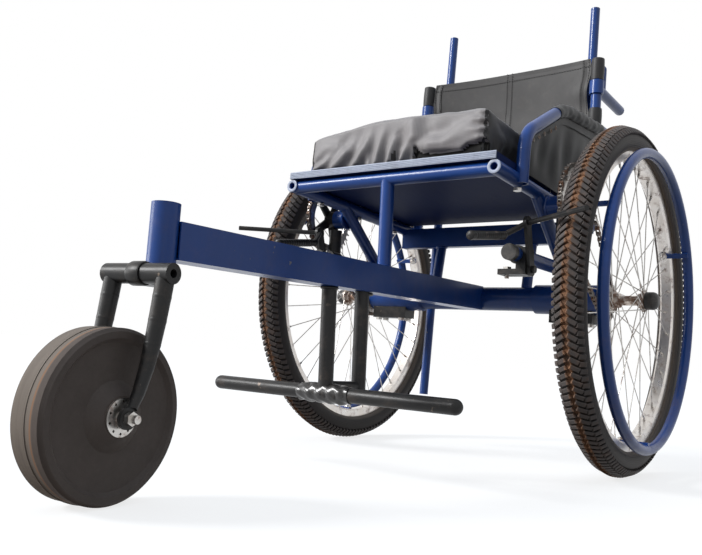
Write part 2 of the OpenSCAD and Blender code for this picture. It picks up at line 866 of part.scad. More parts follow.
// Drive plane: X points from the rear axle to the crank, and Z along +X of the chair
module in_drive_plane(x) {
    in_side_plane(x) translate([axle_y, axle_z]) rotate(180 - crank_rise) children();
}

// Chain line from the upper tangent point of the chainring: over the ring, along one run,
// round the freewheel and back along the other run. Each entry is a place and a heading.
ring_arc = ring_r * (180 + 2 * lap) * PI / 180;
free_arc = free_r * (180 - 2 * lap) * PI / 180;
function chain_at(s) =
    s < ring_arc ? let (a = 90 + lap - s / ring_r * 180 / PI)
        [[span + ring_r * cos(a), ring_r * sin(a)], a - 90]
    : s < ring_arc + run_len ? let (a = -90 - lap, d = s - ring_arc)
        [[span + ring_r * cos(a), ring_r * sin(a)] + d * [cos(a - 90), sin(a - 90)], a - 90]
    : s < ring_arc + run_len + free_arc
        ? let (a = -90 - lap - (s - ring_arc - run_len) / free_r * 180 / PI)
        [free_r * [cos(a), sin(a)], a - 90]
    : let (a = 90 + lap, d = s - ring_arc - run_len - free_arc)
        [free_r * [cos(a), sin(a)] + d * [cos(a - 90), sin(a - 90)], a - 90];
function roller(k) = chain_at((k % chain_links) * chain_pitch)[0];

roller_d = 7.8;
plate_t = 1;
plate_d = 8.4;
plate_waist = 6;
chain_inside = 3.4;
pin_d = 3.6;
plate_play = 0.1;
tooth_t = 2.6;
tooth_root_in = 4.3;
tooth_tip_out = 3.8;
tooth_root_half = 2.5;
tooth_tip_half = 0.8;

// A chain plate from one roller to the next
module chain_plate(length) {
    circle(d = plate_d);
    translate([length, 0]) circle(d = plate_d);
    translate([0, -plate_waist / 2]) square([length, plate_waist]);
}

module chain_link(k) {
    a = roller(k);
    v = roller(k + 1) - a;
    length = norm(v);
    outer = k % 2 == 1;
    inside = outer ? chain_inside / 2 + plate_t + plate_play : chain_inside / 2;
    translate([a.x, a.y, 0]) rotate(atan2(v.y, v.x)) difference() {
        union() {
            for (z = [-inside - plate_t, inside]) translate([0, 0, z])
                linear_extrude(plate_t) chain_plate(length);
            for (x = [0, length]) translate([x, 0, -inside - (outer ? plate_t : 0)])
                cylinder(h = 2 * inside + (outer ? 2 * plate_t : 0), d = outer ? pin_d : roller_d);
        }
        if (!outer) for (x = [0, length]) translate([x, 0, -inside - plate_t - cut])
            cylinder(h = 2 * (inside + plate_t + cut), d = pin_d + 2 * plate_play);
    }
}

module chain() {
    color(steel) in_drive_plane(chain_x) for (k = [0 : chain_links - 1]) chain_link(k);
}

// Outline of a toothed wheel whose first tooth gap lies at an angle
module toothed_outline(teeth, pitch_r, first) {
    root = pitch_r - tooth_root_in;
    tip = pitch_r + tooth_tip_out;
    function polar(r, a) = r * [cos(a), sin(a)];
    polygon([for (k = [0 : teeth - 1]) let (mid = first + 360 * (k + 0.5) / teeth)
        for (corner = [[root, -tooth_root_half], [tip, -tooth_tip_half], [tip, tooth_tip_half],
            [root, tooth_root_half]]) polar(corner[0], mid + corner[1] / corner[0] * 180 / PI)]);
}

// Angle of the first roller on the freewheel
free_first = let (k = ceil((ring_arc + run_len) / chain_pitch), p = roller(k)) atan2(p.y, p.x);
free_body_d = 56;
free_body_w = 12;
hub_boss_d = 34;

module freewheel() {
    color(steel) in_drive_plane(chain_x) difference() {
        union() {
            translate([0, 0, -tooth_t / 2])
                linear_extrude(tooth_t) toothed_outline(free_teeth, free_r, free_first);
            translate([0, 0, -free_body_w / 2]) cylinder(h = free_body_w, d = free_body_d);
        }
        translate([0, 0, -free_body_w]) cylinder(h = 2 * free_body_w, d = hub_boss_d + 2 * clear_gap);
    }
}

// Chainring on a five-armed spider, which carries the spindle and the lever socket
ring_inner_share = 0.74;
ring_bolt_in_share = 0.8;
ring_bolts = 5;
ring_bolt_d = 9;
ring_bolt_h = 2;
spider_t = 5;
spider_hub_d = 38;
spider_boss_h = 1.5;
arm_root = 22;
arm_tip = 13;
spindle_d = 16;
socket_wall = 3;
socket_gap = 0.5;
socket_start = 24;
socket_neck_w = 14;
shell_d = 40;
shell_len = 27;
crank_bush_wall = 4;
shell_x = rail_x + rail_d / 2 + weld_gap;
spider_x = chain_x - tooth_t / 2 - seat_gap - spider_t;
socket_bore = lever_d + 2 * socket_gap;
socket_d = socket_bore + 2 * socket_wall;
socket_x = spider_x - socket_d / 2 - seat_gap;

module in_crank_plane(x) {
    translate([x, crank_y, crank_z]) rotate([90, 0, 90]) children();
}

module chainring() {
    bolt_r = ring_r * ring_inner_share + ring_bolt_d * ring_bolt_in_share;
    color(steel) in_drive_plane(chain_x - tooth_t / 2) translate([span, 0, 0]) {
        linear_extrude(tooth_t) difference() {
            toothed_outline(ring_teeth, ring_r, 90 + lap);
            circle(r = ring_r * ring_inner_share);
        }
        for (k = [1 : ring_bolts]) rotate(360 * k / ring_bolts) translate([bolt_r, 0, tooth_t / 2])
            cylinder(h = tooth_t / 2 + ring_bolt_h, d = ring_bolt_d);
    }
}

module spider() {
    reach = ring_r * ring_inner_share + ring_bolt_d;
    socket_low = socket_start + socket_len;
    color(black) difference() {
        union() {
            in_drive_plane(spider_x) translate([span, 0, 0]) {
                linear_extrude(spider_t) for (k = [1 : ring_bolts]) rotate(360 * k / ring_bolts)
                    polygon([[0, -arm_root / 2], [reach, -arm_tip / 2], [reach, arm_tip / 2], [0,
                        arm_root / 2]]);
            }
            in_crank_plane(shell_x + shell_len + clear_gap)
                cylinder(h = spider_x + spider_t + spider_boss_h - shell_x - shell_len - clear_gap,
                    d = spider_hub_d);
            in_crank_plane(shell_x + tube_wall + clear_gap) cylinder(h = spider_x - shell_x, d = spindle_d);
            translate([socket_x, crank_y, crank_z - socket_low]) cylinder(h = socket_len, d = socket_d);
            translate([socket_x, crank_y - socket_neck_w / 2,
                crank_z - socket_start - socket_wall])
                cube([spider_x - socket_x, socket_neck_w, socket_start]);
        }
        translate([socket_x, crank_y, crank_z - socket_low - cut])
            cylinder(h = socket_len - socket_wall + cut, d = socket_bore);
    }
}

module crank_shells() {
    color(blue) both_sides() in_crank_plane(shell_x) difference() {
        cylinder(h = shell_len, d = shell_d);
        translate([0, 0, tube_wall])
            cylinder(h = shell_len, d = spindle_d + 2 * crank_bush_wall + 2 * seat_gap);
    }
}

module crank_bushes() {
    color(steel) both_sides() in_crank_plane(shell_x + tube_wall + seat_gap) difference() {
        cylinder(h = shell_len - tube_wall - seat_gap, d = spindle_d + 2 * crank_bush_wall);
        translate([0, 0, -cut]) cylinder(h = shell_len + 2 * cut, d = spindle_d + 2 * run_gap);
    }
}

// Stowed drive levers and the rings that hold them to the posts
lever_top_z = 1013;
lever_cap_h = 4;
collar_wall = 3.5;
collar_h = 10;
tab_h = 42;
tab_w = 12;
tab_t = 4;
tab_rise_share = 0.7367;
holder_h = 26;
holder_under = 3;
holder_z = [560, handle_z - handle_collar_h / 2 - holder_h - holder_under];
tab_from_z = holder_z[1] + holder_h + clear_gap + collar_h;
tab_z = tab_from_z + tab_rise_share * (lever_top_z - tab_h - tab_from_z);
holder_wall = 4;
holder_arm_t = 8;
holder_arm_share = 0.7;

// Stands along a stowed lever at a height
module in_lever_frame(z) {
    translate(lever_at(z)) rotate([-back_lean, 0, 0]) children();
}

module drive_lever() {
    low_z = lever_top_z - lever_len * cos(back_lean);
    color(blue) {
        pipe(lever_at(low_z), lever_at(lever_top_z), lever_d);
        rod(lever_at(lever_top_z - lever_cap_h), lever_at(lever_top_z), lever_d);
        difference() {
            union() {
                in_lever_frame(holder_z[1] + holder_h) translate([0, 0, clear_gap])
                    cylinder(h = collar_h, d = lever_d + 2 * collar_wall);
                in_lever_frame(tab_z) translate([-tab_t / 2, 0, 0])
                    cube([tab_t, lever_d / 2 + tab_w / 2, tab_h]);
            }
            rod(lever_at(low_z), lever_at(lever_top_z), lever_d - tube_wall);
        }
    }
}

module lever_holders() {
    ring_bore = lever_d + 2 * slide_gap;
    reach = [post_x - lever_x, -lever_behind];
    color(blue) both_sides() for (z = holder_z) difference() {
        in_lever_frame(z) union() {
            cylinder(h = holder_h, d = ring_bore + 2 * holder_wall);
            translate([0, 0, holder_h * (1 - holder_arm_share) / 2]) rotate(atan2(reach.y, reach.x))
                translate([0, -holder_arm_t / 2, 0])
                    cube([norm(reach), holder_arm_t, holder_h * holder_arm_share]);
        }
        in_lever_frame(z) translate([0, 0, -cut]) cylinder(h = holder_h + 2 * cut, d = ring_bore);
        post_outside(weld_gap);
        translate([post_x, post_y(z) - post_d, z - holder_h]) cube([post_d, 2 * post_d, 3 * holder_h]);
    }
}

// Wheel locks: a short tube ahead of each strut, a clamp on it and a lever with its brake bar
lock_tube_in = 8;
lock_tube_x = rail_x - lock_tube_in;
lock_tube_z = 388;
lock_tube_front = 296;
lock_cap_t = 4;
lock_cap_len = 12;
lock_pivot = 252;
lock_pin_d = 8;
lock_pin_head_d = 13;
lock_pin_head_t = 5;
lock_clamp_depth = 36;
lock_clamp_wall = 5;
lock_strap_t = 4;
lock_strap_share = 0.8;
lock_foot_t = 10;
lock_foot_in = 34;
lock_bolt_in = 24;
lock_plate_t = 6;
lock_plate_w = 24;
lock_plate_top = 78;
lock_plate_lean = 24;
lock_plate_waist_share = 0.8;
bar_over = 46.5;
bar_out_x = track / 2 + bar_over;
bar_out_front = 372;
bar_out_z = 441;
handle_root_in = 11;
handle_root = [rail_x - handle_root_in, 318, 413];
grip_front = 430;
grip_z = 395;
grip_in = 13;
grip_x = rail_x - grip_in;
handle_bar_d = 10;
grip_ball_share = 1.15;
lock_pivot_y = axle_y - lock_pivot;
clamp_out_x = lock_tube_x + rail_d / 2 + weld_gap + lock_clamp_wall;
lock_plate_x = clamp_out_x + clear_gap;

module lock_tube_outside(grow = 0) {
    rod([lock_tube_x, axle_y - lock_tube_front, lock_tube_z], [lock_tube_x, axle_y, lock_tube_z],
        rail_d + 2 * grow);
}

module lock_tubes() {
    strut_y = strut_top_y + (strut_top.z - lock_tube_z) / (strut_top.z - strut_low.z) * strut_front;
    color(blue) both_sides() difference() {
        pipe([lock_tube_x, axle_y - lock_tube_front, lock_tube_z], [lock_tube_x, strut_y, lock_tube_z],
            rail_d);
        strut_outside(weld_gap);
        translate([lock_tube_x - rail_d, strut_y - rail_d / 2, lock_tube_z - rail_d])
            cube([rail_d, rail_d, 2 * rail_d]);
    }
}

module lock_tube_caps() {
    color(rubber) both_sides() difference() {
        translate([lock_tube_x, axle_y - lock_tube_front + lock_cap_len - lock_cap_t, lock_tube_z])
            rotate([90, 0, 0])
            cylinder(h = lock_cap_len, d = rail_d + lock_cap_t);
        lock_tube_outside(seat_gap);
    }
}

lock_clamp_low = lock_pivot_z - lock_pin_d - lock_clamp_wall / 2;

// The clamp's bolt stands in the foot's inboard end, its head on top
module lock_bolt_places() {
    translate([lock_tube_x - lock_bolt_in, lock_pivot_y, lock_clamp_low + lock_foot_t])
        rotate([180, 0, 0]) children();
}

// A strap round the tube, a cheek that carries the lever's pin, and a foot under the tube
module lock_clamps() {
    strap_half = lock_clamp_depth * lock_strap_share / 2;
    cheek_h = lock_tube_z + rail_d / 2 + weld_gap - lock_clamp_low;
    front_y = lock_pivot_y - lock_clamp_depth / 2;
    color(black) both_sides() {
        difference() {
            union() {
                rod([lock_tube_x, lock_pivot_y - strap_half, lock_tube_z],
                    [lock_tube_x, lock_pivot_y + strap_half, lock_tube_z],
                    rail_d + 2 * weld_gap + 2 * lock_strap_t);
                translate([lock_tube_x, front_y, lock_clamp_low])
                    cube([clamp_out_x - lock_tube_x, lock_clamp_depth, cheek_h]);
                translate([lock_tube_x - lock_foot_in, front_y, lock_clamp_low])
                    cube([lock_foot_in + lock_clamp_wall, lock_clamp_depth, lock_foot_t]);
            }
            lock_tube_outside(weld_gap);
            lock_bolt_places() translate([0, 0, -cut])
                cylinder(h = lock_foot_t + 2 * cut, d = bolt_d + 2 * slide_gap);
        }
        translate([clamp_out_x - cut, lock_pivot_y, lock_pivot_z]) rotate([0, 90, 0])
            cylinder(h = cut + lock_plate_t + 3 * clear_gap, d = lock_pin_d);
        translate([lock_plate_x + lock_plate_t + clear_gap, lock_pivot_y, lock_pivot_z]) rotate([0, 90, 0])
            cylinder(h = lock_pin_head_t, d = lock_pin_head_d);
    }
}

module lock_lever() {
    top = [-lock_plate_lean, lock_plate_top];
    bar_in = [lock_plate_x + lock_plate_t / 2, lock_pivot_y + top.x, lock_pivot_z + top.y];
    root = [handle_root.x, axle_y - handle_root.y, handle_root.z];
    grip = [grip_x, axle_y - grip_front, grip_z];
    color(black) difference() {
        union() {
            translate([lock_plate_x, lock_pivot_y, lock_pivot_z]) rotate([90, 0, 90])
                linear_extrude(lock_plate_t) {
                circle(d = lock_plate_w);
                translate(top) circle(d = lock_plate_w);
                rotate(atan2(top.y, top.x)) translate([0, -lock_plate_w * lock_plate_waist_share / 2])
                    square([norm(top), lock_plate_w * lock_plate_waist_share]);
            }
            rod(bar_in, [bar_out_x, axle_y - bar_out_front, bar_out_z], bar_d);
            rod(bar_in, root, handle_bar_d);
            translate(root) sphere(d = grip_d * grip_ball_share);
            rod(root, grip, grip_d);
        }
        translate([lock_plate_x - cut, lock_pivot_y, lock_pivot_z]) rotate([0, 90, 0])
            cylinder(h = lock_plate_t + 2 * cut, d = lock_pin_d + 2 * run_gap);
    }
}

// Rear wheel, drawn about its own axle with Z along the axle and outwards from the chair
rim_wall = 2;
rim_floor = 6;
rim_chamfer = 4;
hub_flange_d = 42;
hub_barrel_d = 19;
hub_seat_wall = 3.5;
hub_seat_len = 12;
spoke_cross = 60;
spoke_hole_in = 2.5;
tab_count = 3;
tab_turn = -3;
rim_tab_w = 10;
rim_tab_t = 4;
tyre_wall = 6;
tyre_mid_r = wheel_r - knob_h - tyre_d / 2;
knob_angles = [[-19, 19], [32, 60], [-60, -32]];
knob_lead_shares = [0, 0.5, 0.5];
knob_share = 0.55;
knob_root = 1.6;

module on_left() {
    translate([track / 2, axle_y, axle_z]) rotate([0, 90, 0]) children();
}

module on_right() {
    mirror([1, 0, 0]) on_left() children();
}

// A point on the tyre's round section, at a radius and an angle from the tread's middle
function tyre_point(r, a) = [tyre_mid_r + r * cos(a), r * sin(a)];

// Section of the tyre, open towards the rim, with its beads between the rim's flanges
module tyre_section() {
    outer = tyre_d / 2;
    inner = outer - tyre_wall;
    bead_half = rim_w / 2 - rim_wall - seat_gap;
    bead_top = rim_r + seat_gap;
    outer_end = acos((bead_top - tyre_mid_r) / outer);
    inner_end = 180 - asin(bead_half * bead_open_share / inner);
    polygon(concat(
        [for (i = [-tyre_steps : tyre_steps]) tyre_point(outer, outer_end * i / tyre_steps)],
        [[bead_top, bead_half], [bead_top - bead_h, bead_half], [bead_top - bead_h,
            bead_half * bead_open_share]],
        [for (i = [tyre_steps : -1 : -tyre_steps]) tyre_point(inner, inner_end * i / tyre_steps)],
        [[bead_top - bead_h, -bead_half * bead_open_share], [bead_top - bead_h, -bead_half], [bead_top,
            -bead_half]]));
}
tyre_steps = 9;
bead_h = 6;
bead_open_share = 0.6;

// Section of one knob between two angles round the tyre's section
module knob_section(from, to) {
    outer = tyre_d / 2 + knob_h;
    inner = tyre_d / 2 - knob_root;
    mid = (from + to) / 2;
    polygon([tyre_point(inner, from), tyre_point(outer, from), tyre_point(outer, mid),
        tyre_point(outer, to), tyre_point(inner, to)]);
}

module tyre() {
    pitch = 360 / knob_count;
    color(rubber) {
        rotate_extrude() tyre_section();
        for (k = [0 : knob_count - 1]) for (row = [0 : len(knob_angles) - 1])
            rotate((k + knob_lead_shares[row] - knob_share / 2) * pitch)
                rotate_extrude(angle = pitch * knob_share)
                knob_section(knob_angles[row][0], knob_angles[row][1]);
    }
}

module rim() {
    color(steel) rotate_extrude() difference() {
        polygon([[rim_r, -rim_w / 2], [rim_r, rim_w / 2], [rim_r - rim_depth + rim_chamfer, rim_w / 2],
            [rim_r - rim_depth, rim_w / 2 - rim_chamfer], [rim_r - rim_depth, rim_chamfer - rim_w / 2],
            [rim_r - rim_depth + rim_chamfer, -rim_w / 2]]);
        translate([rim_r - rim_depth + rim_floor, rim_wall - rim_w / 2])
            square([rim_depth, rim_w - 2 * rim_wall]);
    }
}

module hub() {
    inner_end = chain_x - free_body_w / 2 - track / 2;
    outer_end = hub_span / 2 + hub_flange_t;
    boss_len = free_body_w + clear_gap;
    seat_d = bearing_d + 2 * hub_seat_wall;
    color(steel) difference() {
        union() {
            translate([0, 0, inner_end]) cylinder(h = boss_len, d = hub_boss_d);
            translate([0, 0, inner_end]) cylinder(h = hub_seat_len - inner_end - hub_span / 2, d = seat_d);
            translate([0, 0, -hub_span / 2]) cylinder(h = hub_span, d = hub_barrel_d);
            translate([0, 0, outer_end - hub_seat_len]) cylinder(h = hub_seat_len, d = seat_d);
            for (z = [-hub_span / 2 - hub_flange_t / 2, hub_span / 2 - hub_flange_t / 2])
                translate([0, 0, z]) cylinder(h = hub_flange_t, d = hub_flange_d);
        }
        translate([0, 0, inner_end - cut])
            cylinder(h = outer_end - inner_end + 2 * cut, d = axle_d + 2 * cut);
        translate([0, 0, inner_end - cut])
            cylinder(h = bearing_in_x + bearing_w - track / 2 - inner_end + 2 * cut,
            d = bearing_d + 2 * run_gap);
        translate([0, 0, bearing_out_x - track / 2 - seat_gap])
            cylinder(h = 2 * hub_seat_len, d = bearing_d + 2 * run_gap);
    }
}

module spokes() {
    rim_in = rim_r - rim_depth - seat_gap;
    hole_r = hub_flange_d / 2 - spoke_hole_in;
    lie = hub_flange_t / 2 + spoke_d / 2 + seat_gap;
    function polar(r, a, z) = [r * cos(a), r * sin(a), z];
    color(steel) for (k = [0 : spoke_count - 1]) {
        flange = k % 2 == 0 ? 1 : -1;
        lead = floor(k / 2) % 2 == 0 ? 1 : -1;
        a = 360 * k / spoke_count;
        rod(polar(hole_r, a + lead * spoke_cross, flange * hub_span / 2 + lead * lie),
            polar(rim_in, a, flange * spoke_d), spoke_d);
    }
}

// Handrim on straps that lie against the rim's inner face
module handrim() {
    strap_r = rim_r - rim_depth - seat_gap - rim_tab_t;
    color(blue) {
        translate([0, 0, handrim_out]) rotate_extrude() translate([handrim_r, 0]) difference() {
            circle(d = handrim_d);
            circle(d = handrim_d - 2 * tube_wall);
        }
        difference() {
            for (k = [1 : tab_count]) rotate(tab_turn + 360 * k / tab_count)
                translate([strap_r, -rim_tab_w / 2, 0]) {
                translate([0, 0, -rim_tab_w]) cube([rim_tab_t, rim_tab_w, handrim_out + rim_tab_w]);
                translate([0, 0, handrim_out - rim_tab_w / 2])
                    cube([handrim_r - strap_r - handrim_d / 4, rim_tab_w, rim_tab_w]);
            }
            translate([0, 0, handrim_out]) rotate_extrude() translate([handrim_r, 0])
                circle(d = handrim_d - tube_wall);
        }
    }
}

// Caster, drawn in the fork's own frame: origin on the swivel axis at ground level, wheel towards -Y
crown_forward = 34;
crown_d = 26;
crown_bore = 11;
crown_half = 57;
leg_x = 45;
leg_end_d = 12;
leg_steps = 6;
leg_straight_share = 0.55;
leg_knuckle_share = 1.02;
dropout_d = 26;
dropout_t = 5;
caster_axle_d = 10;
caster_axle_half = 62;
caster_nut_flats = 15;
caster_nut_h = 6.5;
caster_flange_x = 35;
caster_flange_t = 2.6;
caster_flange_d = 45;
caster_barrel_d = 28;
caster_hole_d = 3.2;
caster_holes = 10;
caster_hole_in = 4;
boss_d = 84;
boss_top_d = 50;
dish_d = 182;
dish_depth = 5;
ridge_w = 3;
ridge_h = 0.8;
steerer_nut_d = 29;
steerer_nut_h = 8;
block_w = 36;
crown_z = head_z - bush_flange_t - seat_gap - crown_d / 2 - clear_gap;
block_top = head_z - bush_flange_t - seat_gap - clear_gap;

module in_fork_frame() {
    translate([0, head_y, 0]) rotate(steer) children();
}

module fork_steerer() {
    nut_z = head_z + head_h - bush_top_inset + clear_gap;
    color(black) in_fork_frame() difference() {
        union() {
            translate([0, 0, crown_z]) cylinder(h = nut_z + steerer_nut_h - crown_z, d = steerer_d);
            translate([0, 0, nut_z]) cylinder(h = steerer_nut_h, d = steerer_nut_d);
            translate([0, 0, crown_z - crown_d / 2])
                cylinder(h = block_top - crown_z + crown_d / 2, d = block_w);
            translate([-block_w / 2, -crown_forward, crown_z - crown_d / 2])
                cube([block_w, crown_forward, block_top - crown_z + crown_d / 2]);
        }
        rod([-crown_half, -crown_forward, crown_z], [crown_half, -crown_forward, crown_z],
            crown_d + 2 * weld_gap);
    }
}

module fork_crown() {
    wall = (crown_d - crown_bore) / 2;
    color(black) in_fork_frame()
        pipe([-crown_half, -crown_forward, crown_z], [crown_half, -crown_forward, crown_z], crown_d, wall);
}

// Centre line of a fork leg, straight under the crown and curved forward to the axle
function leg_at(t) = let (s = leg_straight_share * t + (1 - leg_straight_share) * pow(t, 4))
    [leg_x, -crown_forward - (trail - crown_forward) * s, crown_z + (caster_r - crown_z) * t];
function leg_d(t) = fork_leg_d + (leg_end_d - fork_leg_d) * pow(t, 2);

// A tapered bar between two points
module taper(p, q, d1, d2) {
    v = q - p;
    len = norm(v);
    translate(p) rotate([0, acos(v.z / len), atan2(v.y, v.x)]) cylinder(h = len, d1 = d1, d2 = d2);
}

module fork_legs() {
    axle_end = [leg_x + dropout_t, -trail, caster_r];
    color(black) in_fork_frame() both_sides() difference() {
        union() {
            for (i = [1 : leg_steps]) {
                taper(leg_at((i - 1) / leg_steps), leg_at(i / leg_steps), leg_d((i - 1) / leg_steps),
                    leg_d(i / leg_steps));
                translate(leg_at(i / leg_steps)) sphere(d = leg_d(i / leg_steps) * leg_knuckle_share);
            }
            translate([leg_x - dropout_t / 2, -trail, caster_r]) rotate([0, 90, 0])
                cylinder(h = dropout_t, d = dropout_d);
        }
        long_rod([0, -trail, caster_r], axle_end, caster_axle_d + 2 * seat_gap);
        for (side = [-1, 1])
            translate([leg_x + side * (dropout_t / 2 + leg_end_d / 2), -trail, caster_r]) rotate([0, 90, 0])
            cylinder(h = leg_end_d, d = dropout_d, center = true);
        rod([-crown_half - cut, -crown_forward, crown_z], [crown_half + cut, -crown_forward, crown_z],
            crown_d + 2 * weld_gap);
    }
}

module along_caster(x) {
    in_fork_frame() translate([x, -trail, caster_r]) rotate([0, 90, 0]) children();
}

module caster_axle() {
    face = caster_flange_x + caster_flange_t / 2 + clear_gap;
    seat = leg_x - dropout_t / 2 - seat_gap;
    color(steel) {
        along_caster(-caster_axle_half) cylinder(h = 2 * caster_axle_half, d = caster_axle_d);
        for (side = [0, 1]) in_fork_frame() mirror([side, 0, 0]) translate([0, -trail, caster_r])
            rotate([0, 90, 0]) {
            translate([0, 0, face]) cylinder(h = seat - face, d = caster_nut_flats);
            translate([0, 0, leg_x + dropout_t / 2 + seat_gap]) hex(caster_nut_flats, caster_nut_h);
        }
    }
}

module caster_tyre() {
    half = caster_w / 2;
    face = caster_flange_x - caster_flange_t / 2 - seat_gap;
    half_outline = [[caster_r, 0], [caster_r, ridge_w / 2], [caster_r - ridge_h, ridge_w / 2],
        [caster_r - ridge_h, half - caster_edge], [caster_r - caster_edge, half], [dish_d / 2, half],
        [dish_d / 2 - dish_depth, half - dish_depth], [boss_d / 2, half - dish_depth], [boss_top_d / 2,
            face]];
    bore = [caster_barrel_d / 2 + seat_gap, face];
    points = concat(half_outline, [bore, [bore.x, -face]],
        [for (i = [len(half_outline) - 1 : -1 : 1]) [half_outline[i].x, -half_outline[i].y]]);
    color(rubber) along_caster(0) rotate_extrude() polygon(points);
}

module caster_hub() {
    hole_r = caster_flange_d / 2 - caster_hole_in;
    color(steel) along_caster(0) difference() {
        union() {
            for (x = [-caster_flange_x, caster_flange_x]) translate([0, 0, x - caster_flange_t / 2])
                cylinder(h = caster_flange_t, d = caster_flange_d);
            translate([0, 0, -caster_flange_x]) cylinder(h = 2 * caster_flange_x, d = caster_barrel_d);
        }
        translate([0, 0, -caster_axle_half])
            cylinder(h = 2 * caster_axle_half, d = caster_axle_d + 2 * run_gap);
        for (side = [-1, 1]) for (k = [1 : caster_holes]) rotate(360 * k / caster_holes)
            translate([hole_r, 0, side * caster_flange_x - caster_flange_t])
                cylinder(h = 2 * caster_flange_t, d = caster_hole_d);
    }
}

// Left and right copies of the pieces that move on their own
module tyre_left() { on_left() tyre(); }
module tyre_right() { on_right() tyre(); }
module rim_left() { on_left() rim(); }
module rim_right() { on_right() rim(); }
module spokes_left() { on_left() spokes(); }
module spokes_right() { on_right() spokes(); }
module hub_left() { on_left() hub(); }
module hub_right() { on_right() hub(); }
module handrim_left() { on_left() handrim(); }
module handrim_right() { on_right() handrim(); }
module freewheel_left() { freewheel(); }
module freewheel_right() { mirror([1, 0, 0]) freewheel(); }
module chainring_left() { chainring(); }
module chainring_right() { mirror([1, 0, 0]) chainring(); }
module spider_left() { spider(); }
module spider_right() { mirror([1, 0, 0]) spider(); }
module chain_left() { chain(); }
module chain_right() { mirror([1, 0, 0]) chain(); }
module lock_lever_left() { lock_lever(); }
module lock_lever_right() { mirror([1, 0, 0]) lock_lever(); }
module drive_lever_left() { drive_lever(); }
module drive_lever_right() { mirror([1, 0, 0]) drive_lever(); }

head_tube();
headset_bushes();
boom();
front_post();
seat_front_rail();
seat_side_rails();
seat_rear_bar();
seat_struts();
rear_uprights();
axle_cross_tube();
axle_sleeves();
axle_clamps();
hex_bolts();
rear_axles();
wheel_bearings();
axle_caps();
crank_shells();
crank_bushes();
seat_board();
cushion();
backrest_posts();
backrest_sling();
push_handles();
guard_tubes();
guard_panels();
footrest_legs();
foot_bar();
lever_holders();
lock_tubes();
lock_tube_caps();
lock_clamps();
tyre_left();
tyre_right();
rim_left();
rim_right();
spokes_left();
spokes_right();
hub_left();
hub_right();
handrim_left();
handrim_right();
freewheel_left();
freewheel_right();
chainring_left();
chainring_right();
spider_left();
spider_right();
chain_left();
chain_right();
lock_lever_left();
lock_lever_right();
drive_lever_left();
drive_lever_right();
fork_steerer();
fork_crown();
fork_legs();
caster_axle();
caster_tyre();
caster_hub();
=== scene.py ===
# %% [markdown]
# An all terrain wheelchair. The solids of its frame, wheels, drive and locks come in ready made, each at
# its own place, and they are never moved here. This script gives them their finishes and adds what solids
# don't show: the tread, the cloth, the stitching, the small bolts and the welds. Lengths are metres. Z is
# up, the chair faces -Y, and +X is the side of the sitter's left hand.

# %% Load the solids
import json
import math
import random

import bmesh
import bpy
from mathutils import Matrix, Vector


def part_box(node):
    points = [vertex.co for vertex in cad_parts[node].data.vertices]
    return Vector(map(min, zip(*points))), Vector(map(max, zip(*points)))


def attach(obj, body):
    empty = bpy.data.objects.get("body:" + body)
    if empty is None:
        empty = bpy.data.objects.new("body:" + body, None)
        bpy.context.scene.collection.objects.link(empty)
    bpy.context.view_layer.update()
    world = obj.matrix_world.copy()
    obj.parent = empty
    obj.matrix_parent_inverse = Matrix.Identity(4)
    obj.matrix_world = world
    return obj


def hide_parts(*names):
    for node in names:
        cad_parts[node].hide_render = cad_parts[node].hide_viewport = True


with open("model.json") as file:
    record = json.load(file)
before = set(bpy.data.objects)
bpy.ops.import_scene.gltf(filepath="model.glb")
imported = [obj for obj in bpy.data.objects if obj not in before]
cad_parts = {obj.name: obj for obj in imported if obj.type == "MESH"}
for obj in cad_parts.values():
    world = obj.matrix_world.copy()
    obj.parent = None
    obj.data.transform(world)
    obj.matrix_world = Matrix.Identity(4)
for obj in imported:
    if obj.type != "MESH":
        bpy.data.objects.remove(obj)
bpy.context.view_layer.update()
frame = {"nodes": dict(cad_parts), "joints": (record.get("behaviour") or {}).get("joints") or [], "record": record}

scene = bpy.context.scene
nodes = frame["nodes"]
joint_at = {j["name"]: Vector(j["pos_m"]) for j in frame["joints"] if j.get("pos_m")}

# %% [markdown]
# The camera stands low in front of the chair, on the sitter's left, and looks a little upwards. It is set
# from its place and three turns, because a tracking constraint can't hold a tilted horizon.

# %% Camera
CAMERA_AT = Vector((0.7855, -1.1537, 0.1938))
CAMERA_YAW, CAMERA_PITCH, CAMERA_ROLL = 0.6436, 0.0991, 0.0695
CAMERA_LENS = 39.71
CAMERA_FILM = 36.0


def camera_turn(yaw, pitch, roll):
    """The camera's turn as a matrix whose columns are right, up and backwards."""
    forward = Vector((-math.sin(yaw), math.cos(yaw), 0))
    right = Vector((math.cos(yaw), math.sin(yaw), 0))
    up = Vector((0, 0, 1))
    look = math.cos(pitch) * forward + math.sin(pitch) * up
    head = math.cos(pitch) * up - math.sin(pitch) * forward
    side = math.cos(roll) * right + math.sin(roll) * head
    top = math.cos(roll) * head - math.sin(roll) * right
    return Matrix((side, top, -look)).transposed()


camera = bpy.data.objects.new("camera", bpy.data.cameras.new("camera"))
scene.collection.objects.link(camera)
camera.matrix_world = Matrix.Translation(CAMERA_AT) @ camera_turn(
    CAMERA_YAW, CAMERA_PITCH, CAMERA_ROLL).to_4x4()
camera.data.sensor_fit = "HORIZONTAL"
camera.data.sensor_width = CAMERA_FILM
camera.data.lens = CAMERA_LENS
scene.camera = camera
print("camera at", tuple(camera.location), "with a lens of", CAMERA_LENS, "mm")

# %% [markdown]
# A finish is a tree of shader nodes. Written node by node it is hard to read, so one small class wraps a
# socket: sums and products of sockets become Math nodes, and one method makes every other node.

